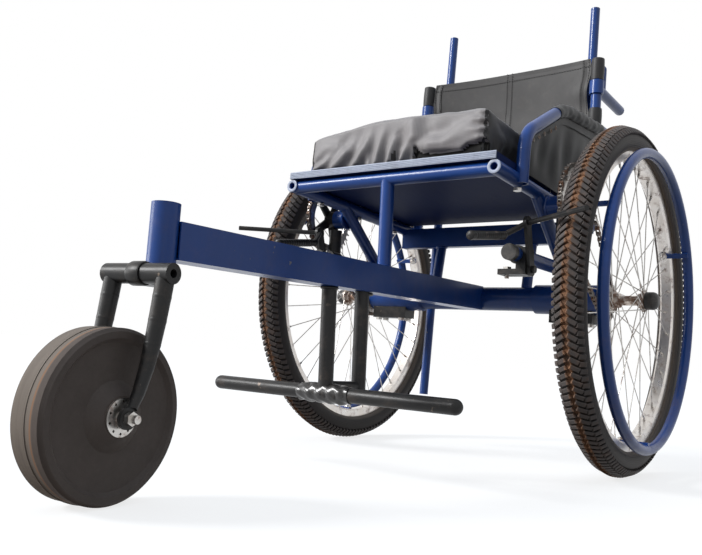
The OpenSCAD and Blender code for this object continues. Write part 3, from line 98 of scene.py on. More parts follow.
# %% Shader sockets
class Wire:
    """One socket in a finish's node tree."""

    def __init__(self, tree, socket=None):
        self.tree, self.socket = tree, socket

    def node(self, kind, settings=None, inputs=None, out=0):
        """A new node: its settings first, then values or wires for its sockets."""
        made = self.tree.nodes.new(kind)
        for name, value in (settings or {}).items():
            setattr(made, name, value)
        for name, value in (inputs or {}).items():
            if isinstance(value, Wire):
                self.tree.links.new(value.socket, made.inputs[name])
            else:
                made.inputs[name].default_value = value
        return Wire(self.tree, made.outputs[out] if made.outputs else None)

    def maths(self, operation, *values):
        return self.node("ShaderNodeMath", {"operation": operation}, dict(enumerate(values)))

    def __add__(self, other): return self.maths("ADD", self, other)
    def __radd__(self, other): return self.maths("ADD", other, self)
    def __sub__(self, other): return self.maths("SUBTRACT", self, other)
    def __rsub__(self, other): return self.maths("SUBTRACT", other, self)
    def __mul__(self, other): return self.maths("MULTIPLY", self, other)
    def __rmul__(self, other): return self.maths("MULTIPLY", other, self)
    def __truediv__(self, other): return self.maths("DIVIDE", self, other)
    def __pow__(self, other): return self.maths("POWER", self, other)

    def sine(self): return self.maths("SINE", self)

    def ramp(self, low, high):
        """0 below low and 1 above high, with a soft step between."""
        return self.node("ShaderNodeMapRange", {"interpolation_type": "SMOOTHSTEP"},
                         {"Value": self, "From Min": low, "From Max": high})

    def noise(self, scale, detail=3.0, rough=0.5):
        return self.node("ShaderNodeTexNoise", {}, {
            "Vector": self, "Scale": scale, "Detail": detail, "Roughness": rough})

    def split(self):
        """The three parts of a vector."""
        made = self.node("ShaderNodeSeparateXYZ", {}, {"Vector": self})
        return [Wire(self.tree, part) for part in made.socket.node.outputs]


def rgb(red, green, blue):
    return (red, green, blue, 1.0)


def blend(one, other, share):
    """A colour between two, by a wire from 0 to 1."""
    return share.node("ShaderNodeMix", {"data_type": "RGBA"}, {0: share, 6: one, 7: other}, 2)


print("shader sockets add, subtract, multiply, divide and raise to a power")

# %% [markdown]
# Every finish starts the same way, from Object coordinates, and ends in one Principled shader with a Bump
# node on its normal. What is the same all over goes straight on the shader's own sockets.

# %% Start and end of a finish
def empty_tree(owner):
    """Clears the nodes of a finish or a sky, and gives a wire to start new ones from."""
    owner.use_nodes = True
    owner.node_tree.nodes.clear()
    return Wire(owner.node_tree)


def make_finish(name, wire_up, *values):
    """A new finish, which one of the functions below wires up from Object coordinates."""
    finish = bpy.data.materials.new(name)
    wire_up(empty_tree(finish).node("ShaderNodeTexCoord", out="Object"), *values)
    print("made the finish", finish.name)
    return finish


def end_finish(place, bump, strength, depth, **sockets):
    """The bump and the shader at a finish's end. Sockets are named with _ for a blank."""
    inputs = {name.replace("_", " "): value for name, value in sockets.items()}
    inputs["Normal"] = place.node("ShaderNodeBump", {}, {
        "Strength": strength, "Distance": depth, "Height": bump})
    shader = place.node("ShaderNodeBsdfPrincipled", {}, inputs)
    place.node("ShaderNodeOutputMaterial", {}, {"Surface": shader})


print("finishes run from Object coordinates to one shader")

# %% [markdown]
# The tubes are sprayed with a deep blue enamel. Up close it has the faint ripple of sprayed paint, paler
# and darker clouds, a thin film of road dust that lies thicker near the ground, and small chips down to a
# grey primer. Noise at four sizes gives these four things.

# %% Blue enamel
DUST = rgb(0.20, 0.13, 0.08)
PRIMER = rgb(0.16, 0.16, 0.17)


def blue_paint(place):
    clouds = place.noise(7.0, 4.0, 0.6)
    colour = blend(rgb(0.0055, 0.034, 0.155), rgb(0.013, 0.070, 0.305), clouds)
    height = place.split()[2]
    dust = (1.0 - height.ramp(0.05, 0.50)) * place.noise(26.0, 5.0, 0.65).ramp(0.46, 0.76) * 0.30
    colour = blend(colour, DUST, dust)
    chips = place.noise(85.0, 2.0, 0.5).ramp(0.715, 0.74) * place.noise(9.0).ramp(0.50, 0.60)
    colour = blend(colour, PRIMER, chips)
    peel = place.noise(420.0, 1.0) * 0.5 + place.noise(60.0, 2.0) * 0.5 - chips * 0.8
    end_finish(place, peel, 0.10, 0.0008, Base_Color=colour,
               Roughness=0.27 + dust * 0.9 + clouds * 0.10 + chips * 0.3,
               Specular_IOR_Level=0.24, Coat_Weight=0.14, Coat_Roughness=0.16)


blue_enamel = make_finish("blue_enamel", blue_paint)

# %% [markdown]
# The seat board is plywood under the same blue, brushed on by hand, but its colour is a far darker blue than the
# tubes' enamel: painted shade for the shade under the seat. The grain still shows as long low ridges, so the noise
# is stretched along the board with a Mapping node.

# %% Painted board
def board_paint(place):
    along = place.node("ShaderNodeMapping", {}, {"Vector": place, "Scale": (34.0, 3.0, 34.0)})
    grain = along.noise(6.0, 4.0, 0.6)
    clouds = place.noise(5.0, 3.0)
    # A far darker blue than the enamel: painted shade for the underside of the seat
    colour = blend(rgb(0.004, 0.008, 0.036), rgb(0.010, 0.021, 0.082), clouds * 0.6 + grain * 0.4)
    scuffs = along.noise(19.0, 2.0).ramp(0.66, 0.80) * clouds.ramp(0.45, 0.62)
    colour = blend(colour, rgb(0.09, 0.085, 0.085), scuffs * 0.55)
    end_finish(place, grain, 0.25, 0.0008, Base_Color=colour,
               Roughness=0.46 + scuffs * 0.25 + grain * 0.10, Specular_IOR_Level=0.04)


shade_darkened_board = make_finish("shade_darkened_board", board_paint)

# %% [markdown]
# The fork, the footrest and the locks are satin black. Their wear is of two kinds: a grey bloom of dust,
# and rubbed places where feet and hands take the paint off down to brown steel.

# %% Satin black
def satin_paint(place):
    clouds = place.noise(12.0, 4.0, 0.6)
    colour = blend(rgb(0.008, 0.008, 0.009), rgb(0.022, 0.021, 0.020), clouds)
    bloom = place.noise(38.0, 5.0, 0.7).ramp(0.46, 0.78) * 0.30
    colour = blend(colour, rgb(0.13, 0.10, 0.08), bloom)
    rubbed = place.noise(55.0, 3.0, 0.6).ramp(0.66, 0.70) * place.noise(6.0).ramp(0.50, 0.64)
    colour = blend(colour, rgb(0.19, 0.15, 0.12), rubbed)
    skin = place.noise(520.0, 1.0) * 0.4 + place.noise(90.0, 3.0) * 0.6 - rubbed * 0.5
    end_finish(place, skin, 0.14, 0.0008, Base_Color=colour, Metallic=rubbed * 0.5,
               Roughness=0.32 + bloom * 0.6 + clouds * 0.12, Specular_IOR_Level=0.26)


def shiny_tape(place):
    clouds = place.noise(60.0, 4.0, 0.6)
    colour = blend(rgb(0.008, 0.008, 0.008), rgb(0.030, 0.027, 0.025), clouds)
    wrinkles = place.noise(90.0, 2.0, 0.5)
    end_finish(place, wrinkles, 0.30, 0.0012, Base_Color=colour, Roughness=0.20 + clouds * 0.14,
               Specular_IOR_Level=0.60)


satin_black = make_finish("satin_black", satin_paint)
black_tape = make_finish("black_tape", shiny_tape)

# %% [markdown]
# Chains, sprockets, hubs, spokes and bolts are plated steel that has been out in the rain. Clean metal is a
# mirror, so its roughness and a second, brown and dull, layer carry the whole look: the layer's mask drives
# the colour, the metalness and the roughness together.

# %% Plated steel and wheel rims
RUST = rgb(0.20, 0.085, 0.035)


def worn_metal(place, clean, dull, roughness, rust_from, rust_to, rust_share, metal):
    smear = place.noise(30.0, 4.0, 0.6)
    colour = blend(clean, dull, smear)
    rust = place.noise(64.0, 5.0, 0.7).ramp(rust_from, rust_to) * rust_share
    colour = blend(colour, RUST, rust)
    pits = place.noise(300.0, 2.0) * (0.3 + rust * 0.7)
    end_finish(place, pits, 0.12, 0.0005, Base_Color=colour, Metallic=metal - rust * 0.85 * metal,
               Roughness=roughness + smear * 0.14 + rust * 0.45)


# Clean and dull colour, roughness, where rust starts and is full, its share, and the metalness
METALS = {
    "plated_steel": (rgb(0.62, 0.61, 0.59), rgb(0.40, 0.37, 0.34), 0.24, 0.50, 0.72, 0.75, 1.0),
    "rim_chrome": (rgb(0.86, 0.85, 0.84), rgb(0.66, 0.58, 0.50), 0.22, 0.50, 0.74, 0.60, 0.80),
    "hub_steel": (rgb(0.74, 0.70, 0.66), rgb(0.52, 0.42, 0.34), 0.26, 0.40, 0.60, 0.85, 0.80),
    "oiled_steel": (rgb(0.25, 0.23, 0.21), rgb(0.07, 0.06, 0.055), 0.34, 0.44, 0.66, 0.80, 1.0)}
plated_steel, rim_chrome, hub_steel, oiled_steel = (
    make_finish(name, worn_metal, *values) for name, values in METALS.items())

# %% [markdown]
# The rear tyres are dark rubber. The distance from the middle of the tyre's round section tells the tops of
# the blocks, which are rubbed grey, from the grooves between them, which get a darker colour as painted shade.
# Brown earth clings along the tread's middle, and the sidewall has fine moulded rings, which are a sine of the
# distance from the axle.

# %% Tyre rubber
AXLE = joint_at["wheel_left_spin"]
TYRE_MID_R = 0.3035
TYRE_TUBE_R = 0.026
EARTH = rgb(0.250, 0.130, 0.072)
RUBBER = rgb(0.036, 0.032, 0.030)
RUBBER_RUBBED = rgb(0.092, 0.080, 0.075)
GROOVE_SHADE = rgb(0.013, 0.011, 0.010)
# Distances from the axle over which one zone of the tyre turns into the next
RIM_ZONE, SIDE_ZONE, TREAD_ZONE = (0.2880, 0.2940), (0.305, 0.313), (0.314, 0.319)


def from_axle(place, centre):
    """Distance of a place from the axle's line, which runs along X."""
    across, along, up = place.split()
    back, rise = along - centre.y, up - centre.z
    return (back * back + rise * rise) ** 0.5, across


def tread_rubber(place):
    reach, across = from_axle(place, AXLE)
    off = across.maths("ABSOLUTE", across) - AXLE.x
    out = reach - TYRE_MID_R
    height = (out * out + off * off) ** 0.5
    grime = place.noise(46.0, 5.0, 0.7)
    on_top = height.ramp(TYRE_TUBE_R + 0.0012, TYRE_TUBE_R + 0.0032)
    tread = reach.ramp(*TREAD_ZONE)
    colour = blend(RUBBER, RUBBER_RUBBED, on_top * 0.75 + grime * 0.25)
    # Grooves darker than the rubber: painted shade between the blocks
    colour = blend(colour, GROOVE_SHADE, tread * (1.0 - on_top) * 0.85)
    middle = (1.0 - off.maths("ABSOLUTE", off).ramp(0.0032, 0.0078)) * tread
    earth = middle * grime.ramp(0.28, 0.62) * 0.85 + grime.ramp(0.45, 0.85) * tread * 0.30
    colour = blend(colour, EARTH, earth)
    bead = 1.0 - reach.ramp(*RIM_ZONE)
    colour = blend(colour, rgb(0.24, 0.19, 0.15), bead * 0.55)
    rings = (reach * 1900.0).sine() * (1.0 - reach.ramp(*SIDE_ZONE))
    skin = rings * 0.35 + place.noise(260.0, 3.0) * 0.5 + earth * 0.8
    end_finish(place, skin, 0.35, 0.0009, Base_Color=colour, Roughness=0.58 + earth * 0.3,
               Specular_IOR_Level=0.16)


tyre_rubber = make_finish("tyre_rubber", tread_rubber)

# %% [markdown]
# The caster is one block of turned rubber. Its flat face shows the fine circles of turning, and most of its
# rolling face is worn pale, up to a brown line of earth. Both follow the distance from the caster's own
# axle, which is turned a little because the fork is, so a Mapping node turns the coordinates back first.

# %% Caster rubber and caps
CASTER = joint_at["caster_spin"]
CASTER_R = CASTER.z
CASTER_TURN = math.radians(5.6)


def turned_rubber(place):
    own = place.node("ShaderNodeMapping", {"vector_type": "TEXTURE"}, {
        "Vector": place, "Location": tuple(CASTER), "Rotation": (0.0, 0.0, CASTER_TURN)})
    reach, across = from_axle(own, Vector((0, 0, 0)))
    grime = place.noise(30.0, 6.0, 0.7)
    colour = blend(rgb(0.052, 0.041, 0.035), rgb(0.118, 0.096, 0.084), grime)
    rolling = reach.ramp(CASTER_R - 0.0060, CASTER_R - 0.0020)
    drawn = own.node("ShaderNodeMapping", {}, {"Vector": own, "Scale": (1.0, 0.06, 0.06)})
    streaks = drawn.noise(210.0, 3.0)
    worn = rolling * (1.0 - across.ramp(0.0095, 0.0140))
    colour = blend(colour, rgb(0.230, 0.194, 0.160), worn * (0.25 + streaks * 0.65))
    line = across.ramp(0.0085, 0.0095) * (1.0 - across.ramp(0.0105, 0.0125)) * rolling
    colour = blend(colour, EARTH, line * 0.8)
    colour = blend(colour, rgb(0.110, 0.095, 0.080), grime.ramp(0.58, 0.80) * (1.0 - rolling) * 0.35)
    turned = (reach * 5200.0).sine() * 0.35 + (reach * 700.0).sine() * 0.4
    end_finish(place, turned * (1.0 - rolling) + grime * 0.5 + streaks * rolling * 0.6, 0.22, 0.0008,
               Base_Color=colour, Roughness=0.46 + rolling * 0.3 + grime * 0.16, Specular_IOR_Level=0.20)


def plain_rubber(place):
    grime = place.noise(70.0, 5.0, 0.7)
    colour = blend(rgb(0.022, 0.021, 0.020), rgb(0.075, 0.064, 0.055), grime.ramp(0.35, 0.75))
    end_finish(place, place.noise(400.0, 2.0) * 0.6 + grime * 0.4, 0.25, 0.0006, Base_Color=colour,
               Roughness=0.32 + grime * 0.22, Specular_IOR_Level=0.36)


caster_rubber = make_finish("caster_rubber", turned_rubber)
cap_rubber = make_finish("cap_rubber", plain_rubber)

# %% [markdown]
# The cushion, the sling and the side guards are coated nylon. Its weave is finer than a millimetre: sines
# along all three axes cross into a grid on any face, which saves a UV map. A slow noise gives the uneven
# shine of a coating that has been folded and sat on, and dust settles as a paler bloom.

# %% Coated nylon
THREAD_WAVES = 2400.0


def woven_nylon(place, dark, light, dust_share, shine):
    threads = [part * THREAD_WAVES for part in place.split()]
    weave = (threads[0].sine() + threads[1].sine() + threads[2].sine()) / 3.0
    worn = place.noise(15.0, 5.0, 0.62)
    colour = blend(dark, light, worn * 0.7 + weave * 0.18 + 0.1)
    dust = place.noise(42.0, 6.0, 0.7).ramp(0.48, 0.80) * dust_share
    colour = blend(colour, rgb(0.30, 0.26, 0.22), dust)
    creases = place.noise(90.0, 3.0, 0.6)
    end_finish(place, weave * 0.35 + creases * 0.65, 0.22, 0.0009, Base_Color=colour,
               Roughness=0.43 + worn * 0.16 + dust * 0.4, Specular_IOR_Level=0.28 * shine,
               Sheen_Weight=0.08 * shine, Sheen_Roughness=0.45)


# Dark and light colour, share of dust, and shine
CLOTHS = {
    "coated_nylon": (rgb(0.015, 0.014, 0.014), rgb(0.030, 0.028, 0.028), 0.08, 1.0),
    "cover_nylon": (rgb(0.175, 0.165, 0.166), rgb(0.290, 0.272, 0.270), 0.14, 1.0),
    "guard_nylon": (rgb(0.012, 0.012, 0.013), rgb(0.028, 0.027, 0.026), 0.08, 1.0),
    "nylon_tape": (rgb(0.012, 0.012, 0.013), rgb(0.030, 0.029, 0.030), 0.08, 1.0),
    # The last is for the faces under the cushion's lip: painted shade, near black with little shine
    "lip_painted_shade": (rgb(0.006, 0.006, 0.006), rgb(0.014, 0.013, 0.012), 0.0, 0.15)}
nylon, cover_nylon, guard_nylon, nylon_tape, lip_painted_shade = (
    make_finish(name, woven_nylon, *values) for name, values in CLOTHS.items())

# %% [markdown]
# Thread, the pale binding on the cushion and the worn strip on the board's front edge need finishes of
# their own. All three are a light colour broken up by fine noise, so one function makes them.

# %% Thread, binding and edge strip
def mottled(place, dark, light, scale, roughness):
    mottle = place.noise(scale, 4.0, 0.65)
    grime = place.noise(scale / 6.0, 5.0, 0.7).ramp(0.45, 0.80) * 0.4
    colour = blend(blend(dark, light, mottle), rgb(0.08, 0.075, 0.08), grime)
    end_finish(place, mottle, 0.25, 0.0006, Base_Color=colour, Roughness=roughness + grime * 0.3,
               Specular_IOR_Level=0.40)


# Dark and light colour, scale of the mottling, and roughness
PALES = {
    "thread_grey": (rgb(0.03, 0.03, 0.03), rgb(0.08, 0.075, 0.07), 900.0, 0.7),
    "binding_pale": (rgb(0.30, 0.28, 0.25), rgb(0.48, 0.45, 0.40), 700.0, 0.75),
    "strip_paint": (rgb(0.22, 0.26, 0.36), rgb(0.42, 0.46, 0.56), 160.0, 0.40)}
thread_grey, binding_pale, strip_paint = (
    make_finish(name, mottled, *values) for name, values in PALES.items())

# %% [markdown]
# Each solid already carries one plain material. Its name in the record says which finish it wants, so a
# table from slot to finish dresses all of them in one loop, and the solids themselves stay untouched. The
# chains and the hubs share their slot with brighter steel, and get finishes of their own, oily and rusty.

# %% Dress the solids
finish_of = {
    "blue_paint": blue_enamel, "blue_board": shade_darkened_board, "black_paint": satin_black,
    "bright_steel": plated_steel, "rim_metal": rim_chrome, "knobby_tyre": tyre_rubber,
    "caster_rubber": caster_rubber, "cap_rubber": cap_rubber, "nylon": nylon}
slot_of_node = {part["node"]: part["material_slot"] for part in frame["record"]["subparts"]}
finish_of_node = {name: finish_of[slot] for name, slot in slot_of_node.items()}
finish_of_node.update({name: oiled_steel for name in ("chain_left", "chain_right")})
finish_of_node.update({name: hub_steel for name in ("hub_left", "hub_right")})
for name, solid in nodes.items():
    solid.data.materials.clear()
    solid.data.materials.append(finish_of_node[name])
print(len(nodes), "solids dressed in", len(set(finish_of_node.values())), "finishes")

# %% [markdown]
# New pieces all end the same way: doubles merged, faces turned outwards, a mesh at the origin, smooth
# shading that stops at sharp edges, a finish and a body to ride on. So each piece is written as a
# function that fills a bmesh, and one other function does the rest. Most pieces come in pairs, where the
# right one is the left one mirrored.

# %% Make a piece
SHARP_ANGLE = math.radians(38)
MERGE = 1e-6
SIDES = (("left", 1), ("right", -1))


def make_piece(name, shape, finish, body, sign=1):
    """A mesh piece at the origin, riding on one of the chair's bodies. A sign of -1 mirrors it."""
    bm = bmesh.new()
    shape(bm)
    if sign < 0:
        bmesh.ops.transform(bm, matrix=Matrix.Diagonal((-1, 1, 1, 1)), verts=bm.verts)
    bmesh.ops.remove_doubles(bm, verts=bm.verts, dist=MERGE)
    bmesh.ops.recalc_face_normals(bm, faces=bm.faces)
    mesh = bpy.data.meshes.new(name)
    bm.to_mesh(mesh)
    bm.free()
    mesh.materials.append(finish)
    mesh.shade_smooth()
    mesh.set_sharp_from_angle(angle=SHARP_ANGLE)
    piece = bpy.data.objects.new(name, mesh)
    scene.collection.objects.link(piece)
    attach(piece, body)
    print(name, "has", len(mesh.polygons), "faces")
    return piece


def make_pair(name, shape, finish, body):
    """A piece for the sitter's left and one for the right. {} in a name stands for the side."""
    return [make_piece(name.format(side), shape, finish, body.format(side), sign)
            for side, sign in SIDES]


def all_of(bm):
    return bm.verts[:] + bm.edges[:] + bm.faces[:]


print("pieces are made for", [side for side, sign in SIDES])

# %% [markdown]
# A round piece is a profile spun about a line. The profile is a short chain of points, given as pairs of a
# distance along the line and a radius, and the two ends on the line close the shape.

# %% Spun pieces
def frame_along(start, end):
    """A matrix that puts +Z along a line, with its origin at the line's start."""
    axis = (end - start).normalized()
    return Matrix.Translation(start) @ axis.to_track_quat("Z", "Y").to_matrix().to_4x4()


def spin_profile(bm, profile, place, steps, closed=False):
    """Spins pairs of (along, radius) a full turn about the Z axis of a matrix."""
    verts = [bm.verts.new((radius, 0, along)) for along, radius in profile]
    edges = [bm.edges.new(pair) for pair in zip(verts, verts[1:])]
    if closed:
        edges.append(bm.edges.new((verts[-1], verts[0])))
    before = set(bm.verts) - set(verts)
    bmesh.ops.spin(bm, geom=verts + edges, cent=(0, 0, 0), axis=(0, 0, 1), dvec=(0, 0, 0),
                   angle=2 * math.pi, steps=steps, use_merge=True)
    made = [v for v in bm.verts if v not in before]
    bmesh.ops.remove_doubles(bm, verts=made, dist=MERGE)
    made = [v for v in bm.verts if v not in before]
    bmesh.ops.transform(bm, matrix=place, verts=made)


print("profiles spin about any line")

# %% [markdown]
# The rear tyre's casing is a ring with a round section that stops at the rim. A torus would fill the rim,
# so a circle is cut off at the rim's edge with bisect_plane, closed with one edge and spun round the axle.

# %% Tyre casing
RIM_EDGE_R = 0.2856
CASING_STEPS = 144
SECTION_STEPS = 36


def loose_of(bm):
    """Points and edges that carry no face."""
    return [part for part in bm.verts[:] + bm.edges[:] if not part.link_faces]


def add_casing(bm):
    middle = AXLE + Vector((0, 0, TYRE_MID_R))
    section = Matrix.Translation(middle) @ Matrix.Rotation(math.pi / 2, 4, "X")
    bmesh.ops.create_circle(bm, segments=SECTION_STEPS, radius=TYRE_TUBE_R, matrix=section)
    bmesh.ops.bisect_plane(bm, geom=loose_of(bm), plane_co=AXLE + Vector((0, 0, RIM_EDGE_R)),
                           plane_no=(0, 0, -1), clear_outer=True)
    bm.edges.new([v for v in bm.verts if len(v.link_edges) == 1])
    bmesh.ops.spin(bm, geom=loose_of(bm), cent=AXLE, axis=(1, 0, 0), dvec=(0, 0, 0),
                   angle=2 * math.pi, steps=CASING_STEPS, use_merge=True)


print("the casing's tube is", 2000 * TYRE_TUBE_R, "mm thick")

# %% [markdown]
# The tread has four blocks to a pitch: a long slanted bar on both sides of a bare middle strip, which meet
# as arrows, and a shoulder block outside each bar, half a pitch on. Each is a cube with its top edges
# bevelled, sunk a little into the casing. One pitch is made from the listed blocks and spin repeats it round the
# wheel, which is far quicker than placing hundreds of blocks one by one.

# %% Tyre tread
PITCHES = 160
BLOCK_SINK = 0.0030
BLOCK_BEVEL = 0.0009
# Angle round the section, width across, length along the tyre, slant, offset in pitches and height
BLOCKS = ((21.5, 0.0176, 0.0076, -31.0, 0.0, 0.0036), (-21.5, 0.0176, 0.0076, 31.0, 0.15, 0.0036),
          (50.0, 0.0128, 0.0080, -14.0, 0.60, 0.0042), (-50.0, 0.0128, 0.0080, 14.0, 0.75, 0.0042))


def add_block(bm, angle, width, length, slant, offset, rise):
    height = rise + BLOCK_SINK
    made = bmesh.ops.create_cube(bm, size=1.0)["verts"]
    top = [e for e in {e for v in made for e in v.link_edges} if all(v.co.z > 0 for v in e.verts)]
    bmesh.ops.scale(bm, vec=(width, length, height), verts=made)
    rounded = bmesh.ops.bevel(bm, geom=top, offset=BLOCK_BEVEL, affect="EDGES", segments=1, profile=0.5,
                              material=-1)
    made = list({v for v in made if v.is_valid} | set(rounded["verts"]))
    place = (Matrix.Translation(AXLE) @ Matrix.Rotation(2 * math.pi * offset / PITCHES, 4, "X")
             @ Matrix.Translation((0, 0, TYRE_MID_R)) @ Matrix.Rotation(math.radians(angle), 4, "Y")
             @ Matrix.Translation((0, 0, TYRE_TUBE_R + height / 2 - BLOCK_SINK))
             @ Matrix.Rotation(math.radians(slant), 4, "Z"))
    bmesh.ops.transform(bm, matrix=place, verts=made)


def tyre_shape(bm):
    for block in BLOCKS:
        add_block(bm, *block)
    bmesh.ops.spin(bm, geom=all_of(bm), cent=AXLE, axis=(1, 0, 0), dvec=(0, 0, 0), use_duplicate=True,
                   angle=2 * math.pi * (PITCHES - 1) / PITCHES, steps=PITCHES - 1)
    add_casing(bm)


tyres = make_pair("knobby_tyre_{}", tyre_shape, tyre_rubber, "wheel_{}")
for tyre, (side, sign) in zip(tyres, SIDES):
    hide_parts("tyre_" + side)

# %% [markdown]
# Every spoke screws into a small nipple at the rim. Its place follows from the lacing: each spoke leaves a
# flange of the hub, leans sixty degrees round it and meets the rim at an even angle. A nipple is a spun
# profile with six sides, which is all that can be seen of one.

# %% Spoke nipples
SPOKES = 36
HUB_HALF = 0.028
SPOKE_LEAN = math.radians(60)
HOLE_R = 0.0185
SPOKE_LIE = 0.0026
RIM_IN_R = 0.2679
SPOKE_HALF = 0.002
NIPPLE = ((0.0, 0.0), (0.0, 0.0021), (0.0075, 0.0024), (0.0105, 0.0027), (0.0115, 0.0))
NIPPLE_SIDES = 6


def on_wheel(radius, angle, out):
    """A point of the left wheel, at a radius, an angle from straight down and a distance outwards."""
    return AXLE + Vector((out, radius * math.sin(angle), -radius * math.cos(angle)))


def nipple_shape(bm):
    for k in range(SPOKES):
        flange = 1 if k % 2 == 0 else -1
        lead = 1 if (k // 2) % 2 == 0 else -1
        angle = 2 * math.pi * k / SPOKES
        root = on_wheel(HOLE_R, angle + lead * SPOKE_LEAN, flange * HUB_HALF + lead * SPOKE_LIE)
        tip = on_wheel(RIM_IN_R, angle, flange * SPOKE_HALF)
        back = tip + (root - tip).normalized() * NIPPLE[-1][0]
        spin_profile(bm, NIPPLE, frame_along(back, tip), NIPPLE_SIDES)


make_pair("spoke_nipples_{}", nipple_shape, plated_steel, "wheel_{}")

# %% [markdown]
# Three straps carry the handrim. Each is bolted to the rim, and the bolt's round head faces the hub with a
# washer under it. The head is a spun profile with a rounded edge.

# %% Handrim bolts
STRAP_TURNS = [math.radians(-3 + 120 * k) for k in (1, 2, 3)]
STRAP_R = 0.2639
STRAP_OUT = -0.002
BOLT_GAP = 0.0002
BOLT_STEPS = 20
BOLT_HEAD = ((0.0, 0.0), (0.0, 0.0085), (0.0012, 0.0085), (0.0013, 0.0062), (0.0030, 0.0060),
             (0.0046, 0.0046), (0.0052, 0.0022), (0.0052, 0.0))


def strap_bolt_shape(bm):
    for angle in STRAP_TURNS:
        foot = on_wheel(STRAP_R + BOLT_GAP, angle, STRAP_OUT)
        spin_profile(bm, BOLT_HEAD, frame_along(foot, on_wheel(0, angle, STRAP_OUT)), BOLT_STEPS)


make_pair("strap_bolts_{}", strap_bolt_shape, plated_steel, "wheel_{}")

# %% [markdown]
# The frame is welded, and a bead stands round each tube where it meets another. The footrest hangs from the
# boom's underside on two tubes, and a bead closes each joint there. A flat bead is a small circle spun
# round the tube.

# %% Weld beads
BEAD_R = 0.0027
BEAD_SIDES, BEAD_STEPS = 8, 56
UP, ACROSS = Vector((0, 0, 1)), Vector((1, 0, 0))
# Radius of the tubes, and how far out those stand that come in pairs
POST_R = LEG_R = 0.0125
UPRIGHT_X, UPRIGHT_R = 0.110, 0.011
SHELL_X, SHELL_R = 0.2312, 0.0195
AXLE_TUBE_X, AXLE_TUBE_R = 0.1365, 0.0262
UPRIGHT_SINK, LEG_SINK = 0.0005, 0.0035


def add_bead(bm, centre, axis, radius):
    """A bead of weld round a tube, in the plane through a point and square to an axis."""
    turns = [2 * math.pi * k / BEAD_SIDES for k in range(BEAD_SIDES)]
    ring = [(BEAD_R * math.sin(turn), radius + BEAD_R * math.cos(turn)) for turn in turns]
    spin_profile(bm, ring, frame_along(centre, centre + axis), BEAD_STEPS, closed=True)


def frame_welds(bm):
    low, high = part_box("front_post")
    add_bead(bm, Vector((0, low.y + POST_R, low.z)), UP, POST_R)
    for side, sign in SIDES:
        low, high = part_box("rear_uprights")
        foot = Vector((sign * UPRIGHT_X, high.y - UPRIGHT_R, high.z - UPRIGHT_SINK))
        add_bead(bm, foot, UP, UPRIGHT_R)
        low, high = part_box("crank_shells")
        middle = (low + high) / 2
        add_bead(bm, Vector((sign * SHELL_X, middle.y, middle.z)), ACROSS, SHELL_R)
        add_bead(bm, Vector((sign * AXLE_TUBE_X, AXLE.y, AXLE.z)), ACROSS, AXLE_TUBE_R)


def footrest_welds(bm):
    low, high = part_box("footrest_legs")
    for back in (high.y - LEG_R, low.y + LEG_R):
        add_bead(bm, Vector((0, back, high.z - LEG_SINK)), UP, LEG_R)


make_piece("weld_beads", frame_welds, blue_enamel, "frame")
make_piece("footrest_welds", footrest_welds, satin_black, "frame")

# %% [markdown]
# The seat slopes back a little, so the board, the cushion and the edge strip are made in the seat's own
# frame: X across, Y back along the rails, Z square to the board. One matrix takes them to the chair.

# %% Seat frame
SEAT = Matrix.Translation((0, -0.0295, 0.516)) @ Matrix.Rotation(-math.radians(2.4), 4, "X")
BOARD_TOP = 0.02465
BOARD_LOW = 0.01265
BOARD_HALF = 0.222
print("seat frame stands at", tuple(SEAT.translation))

# %% [markdown]
# A ribbed strip is pressed over the board's front edge. It is a cube whose front is cut into bands along
# the board. Every second band is inset and moved out, which makes it a rib.

# %% Edge strip
STRIP_DEPTH = 0.0016
STRIP_OVER = 0.0012
STRIP_FRONT = -0.0023
STRIP_BANDS = 9
RIB_INSET, RIB_RISE = 0.0002, 0.0009


def edge_strip_shape(bm):
    height = BOARD_TOP - BOARD_LOW + STRIP_OVER
    middle = (0, STRIP_FRONT - STRIP_DEPTH / 2, BOARD_LOW + height / 2)
    bmesh.ops.create_cube(bm, size=1.0)
    bmesh.ops.scale(bm, vec=(2 * BOARD_HALF, STRIP_DEPTH, height), verts=bm.verts)
    bmesh.ops.translate(bm, vec=middle, verts=bm.verts)
    for k in range(1, STRIP_BANDS):
        level = BOARD_LOW + height * k / STRIP_BANDS
        bmesh.ops.bisect_plane(bm, geom=all_of(bm), plane_co=(0, 0, level), plane_no=(0, 0, 1))
    bands = [f for f in bm.faces if f.normal.y < -0.9]
    bands.sort(key=lambda f: f.calc_center_median().z)
    for rib in bands[1::2]:
        bmesh.ops.inset_individual(bm, faces=[rib], thickness=RIB_INSET)
        bmesh.ops.translate(bm, vec=(0, -RIB_RISE, 0), verts=rib.verts)
    bmesh.ops.transform(bm, matrix=SEAT, verts=bm.verts)


make_piece("board_edge_strip", edge_strip_shape, strip_paint, "frame")

# %% [markdown]
# The cushion is a block of foam in a loose nylon cover. Cloth simulation swells a remeshed block against
# its own skin, so that the faces bulge and the edges pull in. How far a point may move is capped, because
# foam holds its shape, and the underside stays flat on the board.

# %% Cushion block
PAD_HALF_W, PAD_LEN, PAD_H = 0.196, 0.418, 0.078
PAD_FRONT = 0.011
PAD_CROWN = 0.005
PAD_CAP = 0.006
PAD_VOXEL = 0.0055
PAD_GAP = 0.0006
CORNER_BEVEL, RIM_BEVEL = 0.012, 0.003
pad_low = BOARD_TOP + PAD_GAP


